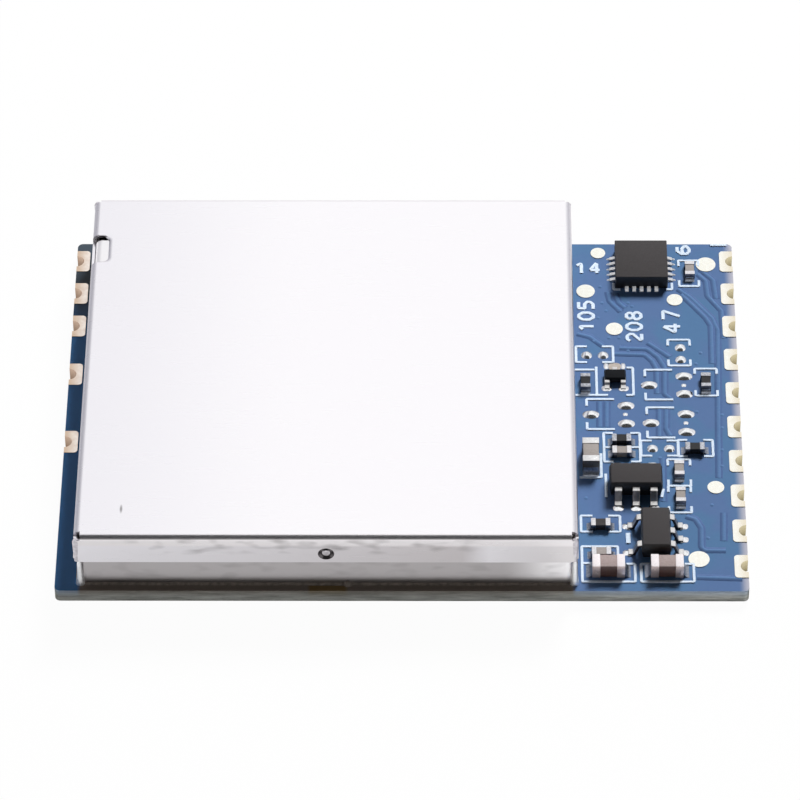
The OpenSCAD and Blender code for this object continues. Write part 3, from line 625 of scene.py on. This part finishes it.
SEAM_X = -2.85
SEAM_GAP = 0.05
SEAM_RECESS = 0.02
SEAM_DEPTH = 0.1
SEAM_FLARE = 0.1
SEAM_WAIST = 1.7
SEAM_TOP = 3.2
seam_sides = []
for side in (-1, 1):
    x = (SEAM_X + side * SEAM_GAP / 2) * MM
    front = [
        (x, FRAME_LOW.y + (SEAM_RECESS + back) * MM, BOARD_HIGH.z + up * MM)
        for back, up in ((0.0, 0.0), (SEAM_FLARE, SEAM_WAIST), (SEAM_FLARE, SEAM_TOP))
    ]
    seam_sides.append(front + [(x, y + SEAM_DEPTH * MM, z) for x, y, z in reversed(front)])
piece("seam_solder", skin_over("seam_solder", seam_sides, frame_tin), "frame_steel")


# Geometry Nodes for what runs along a line or repeats at points


def empty_tree(name, sockets):
    """A Geometry Nodes tree with these named inputs after its geometry."""
    tree = bpy.data.node_groups.new(name, "GeometryNodeTree")
    tree.interface.new_socket("Geometry", in_out="INPUT", socket_type="NodeSocketGeometry")
    for label, kind in sockets:
        tree.interface.new_socket(label, in_out="INPUT", socket_type=kind)
    tree.interface.new_socket("Geometry", in_out="OUTPUT", socket_type="NodeSocketGeometry")
    return tree


def close_tree(tree, geometry, material):
    """Realizes what the tree made, gives it its material and sends it out."""
    real = add(tree, "GeometryNodeRealizeInstances", {"Geometry": geometry})[0]
    done = add(tree, "GeometryNodeSetMaterial", {"Geometry": real, "Material": material})[0]
    add(tree, "NodeGroupOutput", {"Geometry": done})
    return tree


def flat_line_tree():
    """Sweeps a low trapezoid along each line of bare edges, with its corners rounded."""
    sizes = ("Foot Width", "Top Width", "Height", "Corner Radius")
    sockets = [(label, "NodeSocketFloat") for label in sizes] + [("Material", "NodeSocketMaterial")]
    tree = empty_tree("flat_line", sockets)
    given = add(tree, "NodeGroupInput")
    path = add(tree, "GeometryNodeMeshToCurve", {"Mesh": given["Geometry"]})[0]
    bends = {"Curve": path, "Count": 4, "Radius": given["Corner Radius"], "Limit Radius": True}
    rounded = add(tree, "GeometryNodeFilletCurve", bends, mode="POLY")[0]
    upright = add(tree, "GeometryNodeSetCurveNormal", {"Curve": rounded}, mode="Z_UP")[0]
    # The profile hangs downwards in the sweep, so its bottom becomes the line's top
    section = {"Bottom Width": given["Top Width"], "Top Width": given["Foot Width"]}
    section |= {"Height": given["Height"], "Offset": 0.0}
    profile = add(tree, "GeometryNodeCurvePrimitiveQuadrilateral", section, mode="TRAPEZOID")[0]
    sweep = {"Curve": upright, "Profile Curve": profile, "Fill Caps": True}
    swept = add(tree, "GeometryNodeCurveToMesh", sweep)[0]
    return close_tree(tree, swept, given["Material"])


def copies_tree():
    """Sets a copy of a template on each point, turned about Z and sized by the point's own values."""
    sockets = [("Template", "NodeSocketObject"), ("Material", "NodeSocketMaterial")]
    tree = empty_tree("set_out_copies", sockets)
    given = add(tree, "NodeGroupInput")
    shape = add(tree, "GeometryNodeObjectInfo", {"Object": given["Template"]})["Geometry"]
    turn, size = [
        add(tree, "GeometryNodeInputNamedAttribute", {"Name": label}, data_type=kind)["Attribute"]
        for label, kind in (("turn", "FLOAT"), ("size", "FLOAT_VECTOR"))
    ]
    euler = add(tree, "ShaderNodeCombineXYZ", {"Z": turn})["Vector"]
    rotation = add(tree, "FunctionNodeEulerToRotation", {"Euler": euler})["Rotation"]
    placing = {"Points": given["Geometry"], "Instance": shape, "Rotation": rotation, "Scale": size}
    copies = add(tree, "GeometryNodeInstanceOnPoints", placing)[0]
    return close_tree(tree, copies, given["Material"])


flat_line = flat_line_tree()
set_out_copies = copies_tree()


def from_tree(name, mesh, tree, values, slot, *replaced):
    """Runs a tree over a mesh of lines or points and keeps the result as a plain piece."""
    sockets = {
        socket.identifier: values[socket.name]
        for socket in tree.interface.items_tree
        if socket.in_out == "INPUT" and socket.name in values
    }
    final = with_modifier(mesh, "NODES", sockets, node_group=tree)
    smooth_but_sharp(final, 50)
    piece(name, final, slot, *replaced)


# Lines that cross lie a hair above one another, so that no two faces share a plane
LAYER = 0.0003


def lay_lines(name, lines, width, height, taper, bend, made):
    """A piece of flat lines through strip places, narrower on top by the taper, all in millimetres."""
    points, edges = [], []
    for i, line in enumerate(lines):
        closed = line[0] == line[-1]
        kept = line[:-1] if closed else line
        first = len(points)
        points += [strip(u, v, height / 2 + i * LAYER) for u, v in kept]
        edges += [(first + k, first + k + 1) for k in range(len(kept) - 1)]
        if closed:
            edges.append((len(points) - 1, first))
    mesh = bpy.data.meshes.new(name)
    mesh.from_pydata(points, edges, [])
    sizes = {"Foot Width": width, "Top Width": width - taper, "Height": height, "Corner Radius": bend}
    values = {label: size * MM for label, size in sizes.items()}
    from_tree(name, mesh, flat_line, values | {"Material": made}, "laminate")


def set_out(name, rows, shape, made, slot, *replaced):
    """A piece of copies of a template. Each row is a place, a turn about Z and a size in millimetres."""
    mesh = bpy.data.meshes.new(name)
    mesh.from_pydata([row[0] for row in rows], [], [])
    mesh.attributes.new("turn", "FLOAT", "POINT").data.foreach_set("value", [row[1] for row in rows])
    sizes = [part * MM for row in rows for part in row[2]]
    mesh.attributes.new("size", "FLOAT_VECTOR", "POINT").data.foreach_set("vector", sizes)
    from_tree(name, mesh, set_out_copies, {"Template": shape, "Material": made}, slot, *replaced)


def mound_template():
    """A mound of solder with a flat foot: a rounded square that rises like a lens."""
    sides, steps, squareness, tip = 32, 9, 0.8, 0.02
    rows = []
    for i in range(steps + 1):
        reach = max(1 - i / steps, tip)
        row = []
        for k in range(sides):
            turn = 2 * math.pi * k / sides
            x = math.copysign(abs(math.cos(turn)) ** squareness, math.cos(turn))
            y = math.copysign(abs(math.sin(turn)) ** squareness, math.sin(turn))
            row.append((x * reach, y * reach, 1 - reach**2))
        rows.append(row)
    return in_scene("solder_mound", skin_over("solder_mound", rows))


def fillet_template():
    """A concave solder fillet that runs out along +X from the foot of a part's end."""
    steps, narrow, thinnest = 6, 0.88, 0.03
    rows = []
    for i in range(steps + 1):
        swing = math.pi / 2 * i / steps
        along = 1 - math.cos(swing)
        up = max(1 - math.sin(swing), thinnest)
        half = (narrow + (1 - narrow) * i / steps) / 2
        rows.append([(along, -half, up), (along, half, up), (along, half, 0.0), (along, -half, 0.0)])
    return in_scene("solder_fillet", skin_over("solder_fillet", rows))


def bead_template(at_foot, at_top):
    """An upright bead, one high, that changes from its reach at the foot to that at the top."""
    sides, steps = 14, 8
    rows = []
    for i in range(steps + 1):
        up = i / steps
        reach = at_top + (at_foot - at_top) * (1 - up) ** 2
        if i == steps:
            reach /= 2
        turns = [2 * math.pi * k / sides for k in range(sides)]
        rows.append([(reach * math.cos(turn), reach * math.sin(turn), up) for turn in turns])
    return in_scene("corner_bead", skin_over("corner_bead", rows))


mound = mound_template()
fillet = fillet_template()


def lay_mounds(name, rows, made, slot, *replaced):
    """A piece of mounds. Each row is a strip place, with half sizes along u and v and a height."""
    set_out(name, [(strip(*place), 0.0, size) for place, size in rows], mound, made, slot, *replaced)


# Copper tracks under the mask, with the etched gap along both sides

TRACKS = [
    # From the controller to the lower contacts
    [(5.96, 3.54), (6.6, 4.16), (7.77, 5.8), (8.06, 6.73), (8.01, 8.27), (7.73, 17.87)],
    [(6.11, 3.95), (6.7, 4.75), (7.44, 5.8), (7.7, 6.4), (7.66, 9.3)],
    [(7.1, 2.36), (7.53, 2.91), (7.6, 4.1), (8.33, 5.25), (8.36, 7.4)],
    [(7.23, 1.98), (7.95, 2.83), (8.06, 4.3)],
    # From the empty chip lands to the transistor lands
    [(2.6, 8.1), (4.11, 8.17), (4.72, 8.81), (5.06, 9.57), (5.0, 11.62), (5.38, 12.0)],
    [(2.3, 8.55), (3.99, 8.62), (4.4, 9.12), (4.62, 9.73), (4.6, 11.6)],
    [(4.18, 7.71), (5.36, 8.79)],
    [(5.05, 12.7), (5.0, 14.2), (5.24, 14.77)],
    [(4.68, 12.7), (4.62, 14.8)],
    [(1.45, 12.2), (1.42, 14.1)],
    [(1.83, 12.2), (1.79, 14.1)],
    # Round the controller's front corner and the left test pads
    [(2.06, 3.78), (2.16, 4.48), (2.75, 5.3)],
    [(2.45, 3.9), (2.66, 4.61), (3.0, 5.0)],
    [(0.3, 7.0), (1.0, 7.25), (1.75, 8.0)],
    # Beside the five-lead chips and along the front
    [(4.76, 16.4), (4.74, 17.29), (4.71, 19.6)],
    [(5.87, 20.64), (6.39, 20.85), (6.68, 21.5), (6.63, 23.1), (7.9, 23.1)],
    [(7.9, 20.4), (7.83, 22.43)],
    [(6.31, 25.0), (8.7, 25.1)],
]
TRACK_BEND = 0.3
for label, width, height, made in (
    ("track_gaps", 0.42, 0.006, mask_gap),
    ("copper_tracks", 0.2, 0.012, mask_track),
):
    lay_lines(label, TRACKS, width, height, 2 * height, TRACK_BEND, made)


# Vias

COVERED_VIAS = [
    (8.05, 13.2), (8.02, 14.17), (7.96, 15.81), (7.91, 17.0), (3.15, 4.64), (3.37, 4.9),
    (1.63, 3.38), (1.92, 5.26), (1.71, 4.64), (1.47, 5.81), (7.04, 8.5), (6.77, 9.34),
    (3.07, 8.35), (1.21, 7.58), (6.69, 23.5), (6.99, 22.22), (7.28, 19.84), (4.6, 16.4),
    (2.04, 7.35), (2.6, 7.35), (2.98, 7.43), (0.56, 19.34), (6.7, 12.98),
]
OPEN_VIAS = [(2.81, 13.16), (6.05, 10.97), (6.08, 13.8)]
COVERED_VIA_SIZE = (0.11, 0.11, 0.03)
OPEN_VIA_SIZE = (0.13, 0.13, 0.05)
lay_mounds("covered_vias", [(at, COVERED_VIA_SIZE) for at in COVERED_VIAS], mask_track, "laminate")
lay_mounds("open_vias", [(at, OPEN_VIA_SIZE) for at in OPEN_VIAS], solder, "solder")


# Printed lines round the parts


def end_brackets(u, v, length, width, leg, turned):
    """Two facing brackets round a part's ends, its length along u, or along v where it is turned."""
    lines = []
    for side in (-1, 1):
        end = side * length / 2
        inner = side * (length / 2 - leg)
        half = width / 2
        line = [(inner, -half), (end, -half), (end, half), (inner, half)]
        lines.append([(u + b, v + a) if turned else (u + a, v + b) for a, b in line])
    return lines


def land_brackets(u, v):
    """The two angled lines round an empty transistor footprint."""
    left, rear, front, leg, run = u - 1.18, v - 1.13, v + 1.12, 0.5, 1.5
    return [
        [(left, rear + leg), (left, rear), (left + run, rear)],
        [(left, front - leg), (left, front), (left + run, front)],
    ]


# Middles of the three empty transistor footprints
TRANSISTOR_LANDS = [(1.9, 13.17), (5.12, 10.95), (5.15, 13.8)]
PRINT_HEIGHT = 0.04
PRINT_TAPER = 0.03
PRINT_WIDTH = 0.155
PRINT_BEND = 0.05
printed = []
# Chip parts and empty chip lands: u, v, length, width, leg, turned
for place in (
    (1.30, 21.22, 2.08, 1.15, 0.62, False),
    (1.22, 8.63, 2.03, 1.2, 0.6, False),
    (4.59, 15.7, 2.0, 1.11, 0.6, False),
    (6.54, 15.69, 1.86, 1.2, 0.5, False),
    (5.86, 8.5, 1.98, 1.2, 0.45, True),
    (5.6, 17.5, 1.94, 1.2, 0.45, True),
    (5.58, 19.44, 1.94, 1.2, 0.45, True),
    (7.27, 10.75, 2.04, 1.2, 0.4, True),
    (6.58, 2.33, 2.02, 1.1, 0.45, True),
):
    printed += end_brackets(*place)
for place in TRANSISTOR_LANDS:
    printed += land_brackets(*place)
printed += [
    # Resistor beside the shield and the small transistor
    [(0.12, 9.81), (1.2, 9.81)],
    [(0.12, 11.73), (1.9, 11.73)],
    [(1.29, 9.6), (1.29, 11.73)],
    [(2.95, 9.66), (3.29, 9.66), (3.29, 11.73), (2.9, 11.73)],
    # Two small parts side by side, with a line between them
    [(2.1, 14.58), (1.6, 14.58), (1.6, 16.7), (2.1, 16.7)],
    [(3.04, 14.58), (3.54, 14.58), (3.54, 16.7), (3.04, 16.7)],
    [(1.6, 15.64), (2.06, 15.64)],
    [(3.08, 15.64), (3.54, 15.64)],
    # Tall capacitor beside the shield
    [(0.25, 17.85), (1.42, 17.85), (1.42, 16.1)],
    # Capacitors along the front
    [(2.18, 23.7), (2.18, 22.86), (0.27, 22.86), (0.27, 25.36), (3.06, 25.36), (3.06, 24.1)],
    [(0.27, 24.05), (0.75, 24.05)],
    [(3.06, 24.1), (2.62, 24.1)],
    [(3.84, 24.1), (3.38, 24.1), (3.38, 25.36), (6.16, 25.36), (6.16, 24.1), (5.7, 24.1)],
    # Corner marks of the controller and pin marks of the five-lead chips
    [(2.38, 3.1), (2.38, 3.6), (2.75, 3.6)],
    [(5.62, 3.1), (5.62, 3.6), (5.3, 3.6)],
    [(1.65, 17.6), (1.65, 19.3)],
    [(4.72, 18.7), (4.62, 19.3)],
    [(2.7, 21.9), (2.7, 22.62)],
    [(2.8, 21.9), (2.8, 22.62)],
    # Bar on the rear edge
    [(7.85, 0.1), (8.75, 0.1)],
]
lay_lines("printed_lines", printed, PRINT_WIDTH, PRINT_HEIGHT, PRINT_TAPER, PRINT_BEND, print_ink)


# Printed plain numbers where the board carries its labels

DIGITS = {
    "0": [[(0.3, 0), (0.7, 0), (1, 0.3), (1, 0.7), (0.7, 1), (0.3, 1), (0, 0.7), (0, 0.3), (0.3, 0)]],
    "1": [[(0.15, 0.75), (0.6, 1), (0.6, 0)]],
    "2": [[(0, 0.8), (0.3, 1), (0.7, 1), (1, 0.8), (1, 0.6), (0, 0), (1, 0)]],
    "4": [[(0.7, 0), (0.7, 0.95)], [(0.68, 1), (0, 0.3), (1, 0.3)]],
    "5": [[(0.95, 1), (0.1, 1), (0.05, 0.58), (0.7, 0.58), (1, 0.4), (1, 0.2), (0.7, 0), (0, 0)]],
    "6": [
        [(0.9, 1), (0.4, 1), (0, 0.65), (0, 0.45)],
        [(0.3, 0), (0.7, 0), (1, 0.2), (1, 0.4), (0.7, 0.58), (0.3, 0.58), (0, 0.4), (0, 0.2), (0.3, 0)],
    ],
    "7": [[(0, 1), (1, 1), (0.35, 0)]],
    "8": [
        [(0.3, 0), (0.7, 0), (1, 0.2), (1, 0.36), (0.7, 0.54), (0.3, 0.54), (0, 0.36), (0, 0.2), (0.3, 0)],
        [(0.3, 0.54), (0.1, 0.7), (0.1, 0.84), (0.3, 1), (0.7, 1), (0.9, 0.84), (0.9, 0.7), (0.7, 0.54)],
    ],
}
NUMBER_WIDTH = 0.2
NUMBER_BEND = 0.06


def number(text, u, v, tall, wide, pitch, upward):
    """Strokes of a number that reads towards the rear, or to the right where it isn't upward.
    The place is the middle of the number."""
    strokes = []
    run = pitch * (len(text) - 1) + wide
    for i, digit in enumerate(text):
        for stroke in DIGITS[digit]:
            line = []
            for x, y in stroke:
                along = i * pitch + x * wide - run / 2
                up = (y - 0.5) * tall
                line.append((u - up, v - along) if upward else (u + along, v - up))
            strokes.append(line)
    return strokes


numbers = []
for label in (
    ("105", 0.81, 5.69, 0.8, 0.54, 0.84, True),
    ("208", 3.44, 6.5, 0.8, 0.54, 0.84, True),
    ("47", 5.52, 6.11, 0.92, 0.66, 1.02, True),
    ("14", 0.96, 1.92, 0.78, 0.54, 0.8, False),
    ("6", 6.32, 0.5, 0.66, 0.6, 0.8, True),
):
    numbers += number(*label)
lay_lines("printed_numbers", numbers, NUMBER_WIDTH, PRINT_HEIGHT, PRINT_TAPER, NUMBER_BEND, print_ink)


# Solder: domes on the empty lands, fillets at the chip parts' ends and mounds at the leads' feet

LAND_SIZE = (0.46, 0.31, 0.2)
LAND_SPAN = 1.91
LAND_PAIR = 1.34
CHIP_LAND_SIZE = (0.3, 0.29, 0.18)
CHIP_LAND_SPAN = 0.91
domes = []
for u, v in TRANSISTOR_LANDS:
    domes.append(((u - LAND_SPAN / 2, v), LAND_SIZE))
    for side in (-1, 1):
        domes.append(((u + LAND_SPAN / 2, v + side * LAND_PAIR / 2), LAND_SIZE))
for u, v, along_u in ((1.24, 8.67, True), (5.94, 8.55, False), (4.67, 15.7, True)):
    for side in (-1, 1):
        step = side * CHIP_LAND_SPAN / 2
        domes.append(((u + step, v) if along_u else (u, v + step), CHIP_LAND_SIZE))
lay_mounds("solder_domes", domes, solder, "solder", "solder_lands")

# Fillets start at the plated ends. They reach out by a share of the part's width and a little more, and
# climb a share of its height.
END_PLATE = 0.03
FILLET_REACH = 0.25
FILLET_TOE = 0.1
FILLET_WIDTH = 1.08
FILLET_CLIMB = 0.5
fillets = []
for name in SMALL_CAPACITORS + SMALL_RESISTORS + LARGE_CAPACITORS:
    low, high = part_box(name)
    size = (high - low) / MM
    middle = (low + high) / 2
    lengthwise = 0 if size.x > size.y else 1
    across = size[1 - lengthwise]
    for side in (-1, 1):
        foot = Vector((middle.x, middle.y, BOARD_HIGH.z))
        foot[lengthwise] += side * (size[lengthwise] / 2 + END_PLATE) * MM
        turn = (0.0 if side > 0 else math.pi) + lengthwise * math.pi / 2
        reach = FILLET_REACH * across + FILLET_TOE
        fillets.append((foot, turn, (reach, FILLET_WIDTH * across, FILLET_CLIMB * size.z)))
set_out("solder_fillets", fillets, fillet, thin_solder, "solder")

# Solder drawn out in thin streaks from the controller's side terminals
CONTROLLER = (3.93, 2.02)
TOE_REACH = 1.76
TOE_PITCH = 0.41
TOE_SIZE = (0.16, 0.075, 0.06)
toes = [
    ((CONTROLLER[0] + side * TOE_REACH, CONTROLLER[1] + step * TOE_PITCH), TOE_SIZE)
    for side in (-1, 1)
    for step in range(-2, 3)
]
lay_mounds("toe_streaks", toes, toe_solder, "solder")

# Solder just beyond the leads' toes: the transistor's, then the five-lead chips'. The regulator's leads
# point to the front and rear, the amplifier's to both sides.
REGULATOR = (3.23, 18.5)
REGULATOR_REACH = 1.56
REGULATOR_FOOT = (0.29, 0.23, 0.08)
AMPLIFIER = (4.2, 22.34)
AMPLIFIER_REACH = 1.5
AMPLIFIER_FOOT = (0.26, 0.22, 0.08)
LEAD_PITCH = 0.95
feet = [
    ((1.84, 9.5), (0.14, 0.24, 0.08)),
    ((2.77, 9.5), (0.14, 0.24, 0.08)),
    ((1.84, 11.2), (0.28, 0.22, 0.08)),
    ((2.76, 11.2), (0.28, 0.22, 0.08)),
]
for side, steps in ((1, (-1, 0, 1)), (-1, (-1, 1))):
    for step in steps:
        along = step * LEAD_PITCH
        feet.append(((REGULATOR[0] + along, REGULATOR[1] + side * REGULATOR_REACH), REGULATOR_FOOT))
        feet.append(((AMPLIFIER[0] + side * AMPLIFIER_REACH, AMPLIFIER[1] + along), AMPLIFIER_FOOT))
lay_mounds("foot_solder", feet, solder, "solder")
# The transistor's rear land, bare behind its lead
lay_mounds("rear_land", [((2.3, 9.54), (0.36, 0.28, 0.035))], bare_land, "gold_plating")

# Solder drawn up the frame's corners, thicker at the foot, and the lid's corners, drawn together where
# its folded sides meet. Insets are from the left, from the right, and from the front and rear.
for label, low, high, foot, insets, size, reaches, made, slot in (
    (
        "corner_solder", FRAME_LOW, FRAME_HIGH, BOARD_HIGH.z,
        (0.14, 0.07, 0.07), (0.2, 0.18, 1.76), (1.25, 0.6), run_solder, "solder",
    ),
    (
        "lid_corners", LID_LOW, LID_HIGH, LID_LOW.z + 0.02 * MM,
        (0.22, 0.22, 0.1), (0.2, 0.12, 1.72), (0.75, 1.0), corner_tin, "lid_steel",
    ),
):
    left, right, ends = [inset * MM for inset in insets]
    corners = [
        (Vector((x, y, foot)), 0.0, size)
        for x in (low.x + left, high.x - right)
        for y in (low.y + ends, high.y - ends)
    ]
    bead = bead_template(*reaches)
    set_out(label, corners, bead, made, slot)
    bpy.data.objects.remove(bead)
bpy.data.objects.remove(mound)
bpy.data.objects.remove(fillet)


# Studio: pale floor, white surroundings, one soft lamp behind and cards that the camera doesn't see

FLOOR_HALF = 1.5
FLOOR_TO_CAMERA = 0.97
FLOOR_IN_METAL = 0.72


def seen_share(tree, to_camera, in_metal):
    """How much of a white surface shows to the camera and in bright metal, but not as light."""
    rays = add(tree, "ShaderNodeLightPath")
    share = 0.0
    for label, most in (("Is Camera Ray", to_camera), ("Is Glossy Ray", in_metal)):
        part = add(tree, "ShaderNodeMath", {0: rays[label], 1: most}, operation="MULTIPLY")[0]
        share = add(tree, "ShaderNodeMath", {0: share, 1: part}, operation="MAXIMUM")[0]
    return share


def pale_floor():
    """Plain pale floor that shows as the white background, with a faint shadow kept in it."""
    made = bpy.data.materials.new("pale_floor")
    made.use_nodes = True
    tree = made.node_tree
    tree.nodes.clear()
    share = seen_share(tree, FLOOR_TO_CAMERA, FLOOR_IN_METAL)
    paper = add(tree, "ShaderNodeBsdfDiffuse", {"Color": srgb("#F2F2F2")})[0]
    white = add(tree, "ShaderNodeEmission", {"Color": (1, 1, 1, 1), "Strength": 1.0})[0]
    mixed = add(tree, "ShaderNodeMixShader", {0: share, 1: paper, 2: white})[0]
    add(tree, "ShaderNodeOutputMaterial", {"Surface": mixed})
    return made


floor_mesh = bpy.data.meshes.new("floor")
floor_mesh.from_pydata(
    [(x * FLOOR_HALF, y * FLOOR_HALF, BOARD_LOW.z) for x, y in ((-1, -1), (1, -1), (1, 1), (-1, 1))],
    [],
    [(0, 1, 2, 3)],
)
floor_mesh.materials.append(pale_floor())
in_scene("floor", floor_mesh)

CARD_RADIUS = 0.7
CARD_STEPS = 14
# The dark front and the grey sides are parts of a dome round the object. They show one even tone each,
# only in bright metal, and they light and shade nothing. The front arches over from the rear horizon:
# its degrees are off to one side and along the arch. The sides' are over the horizon and round it.
for name, arched, across, along, tone in (
    ("front_flag", True, (-52, 40), (112, 178), 0.06),
    ("left_card", False, (0.5, 42), (-13, -85), 0.68),
    ("right_card", False, (0.5, 42), (13, 85), 0.85),
):
    points, faces = [], []
    for i in range(CARD_STEPS + 1):
        for k in range(CARD_STEPS + 1):
            a = math.radians(across[0] + (across[1] - across[0]) * i / CARD_STEPS)
            b = math.radians(along[0] + (along[1] - along[0]) * k / CARD_STEPS)
            x, y, z = math.sin(a), math.cos(a) * math.cos(b), math.cos(a) * math.sin(b)
            points.append(Vector((x, y, z) if arched else (z, y, x)) * CARD_RADIUS)
            if i < CARD_STEPS and k < CARD_STEPS:
                first = i * (CARD_STEPS + 1) + k
                faces.append((first, first + 1, first + CARD_STEPS + 2, first + CARD_STEPS + 1))
    mesh = bpy.data.meshes.new(name)
    mesh.from_pydata(points, [], faces)
    toned = {"Emission Color": (0.97, 0.97, 1.0, 1.0), "Emission Strength": tone}
    unlit = {"Base Color": srgb("#000000"), "Roughness": 1.0, "Specular IOR Level": 0.0}
    mesh.materials.append(new_material(name + "_cloth", toned | unlit)[0])
    card = in_scene(name, mesh)
    card.visible_camera = False
    card.visible_diffuse = False
    card.visible_shadow = False

# The fill is strongest at the horizon and falls off towards the top, so that shadows stay deep
FILL = 0.8
FILL_FALL = 3.0
surroundings = bpy.data.worlds.new("white_surroundings")
surroundings.use_nodes = True
sky = surroundings.node_tree
seen = seen_share(sky, 1.0, 1.0)
heading = add(sky, "ShaderNodeTexCoord")["Generated"]
height = add(sky, "ShaderNodeSeparateXYZ", {0: heading})["Z"]
low_share = add(sky, "ShaderNodeMapRange", {"Value": height, "To Min": 1.0, "To Max": 0.0})["Result"]
low_share = add(sky, "ShaderNodeMath", {0: low_share, 1: FILL_FALL}, operation="POWER")[0]
fill = add(sky, "ShaderNodeMath", {0: low_share, 1: FILL}, operation="MULTIPLY")[0]
strength = add(sky, "ShaderNodeMath", {0: seen, 1: fill}, operation="MAXIMUM")[0]
background = sky.nodes["Background"]
background.inputs["Color"].default_value = (1, 1, 1, 1)
sky.links.new(strength, background.inputs["Strength"])
scene.world = surroundings

LAMP_DIRECTION = Vector((0.274, 0.68, 0.68))
LAMP_DISTANCE = 0.6
lamp_data = bpy.data.lights.new("rear_softbox", "AREA")
lamp_data.shape = "SQUARE"
lamp_data.size = 0.16
lamp_data.energy = 5.2
lamp = in_scene("rear_softbox", lamp_data)
lamp.location = LAMP_DIRECTION * LAMP_DISTANCE
lamp.rotation_euler = (-LAMP_DIRECTION).to_track_quat("-Z", "Y").to_euler()
lamp.visible_glossy = False


# Camera, fitted to the board's corners and contact row in the photograph

VIEW_ELEVATION = math.radians(46.23)
VIEW_AZIMUTH = math.radians(0.72)
VIEW_ROLL = math.radians(-0.48)
VIEW_DISTANCE = 0.2866
VIEW_TARGET = Vector((-0.18, 0.91, 0.8)) * MM
FOCAL_PIXELS = 5264
PICTURE_PIXELS = 800
SENSOR_WIDTH = 36

looking = Matrix.Rotation(VIEW_AZIMUTH, 3, "Z") @ Matrix.Rotation(math.pi / 2 - VIEW_ELEVATION, 3, "X")
looking = looking @ Matrix.Rotation(VIEW_ROLL, 3, "Z")
camera_data = bpy.data.cameras.new("camera")
camera_data.sensor_width = SENSOR_WIDTH
camera_data.lens = FOCAL_PIXELS / PICTURE_PIXELS * SENSOR_WIDTH
camera_data.clip_start = 0.01
camera = in_scene("camera", camera_data)
placed = looking.to_4x4()
placed.translation = VIEW_TARGET + looking.col[2] * VIEW_DISTANCE
camera.matrix_world = placed
scene.camera = camera
scene.view_settings.view_transform = "Standard"
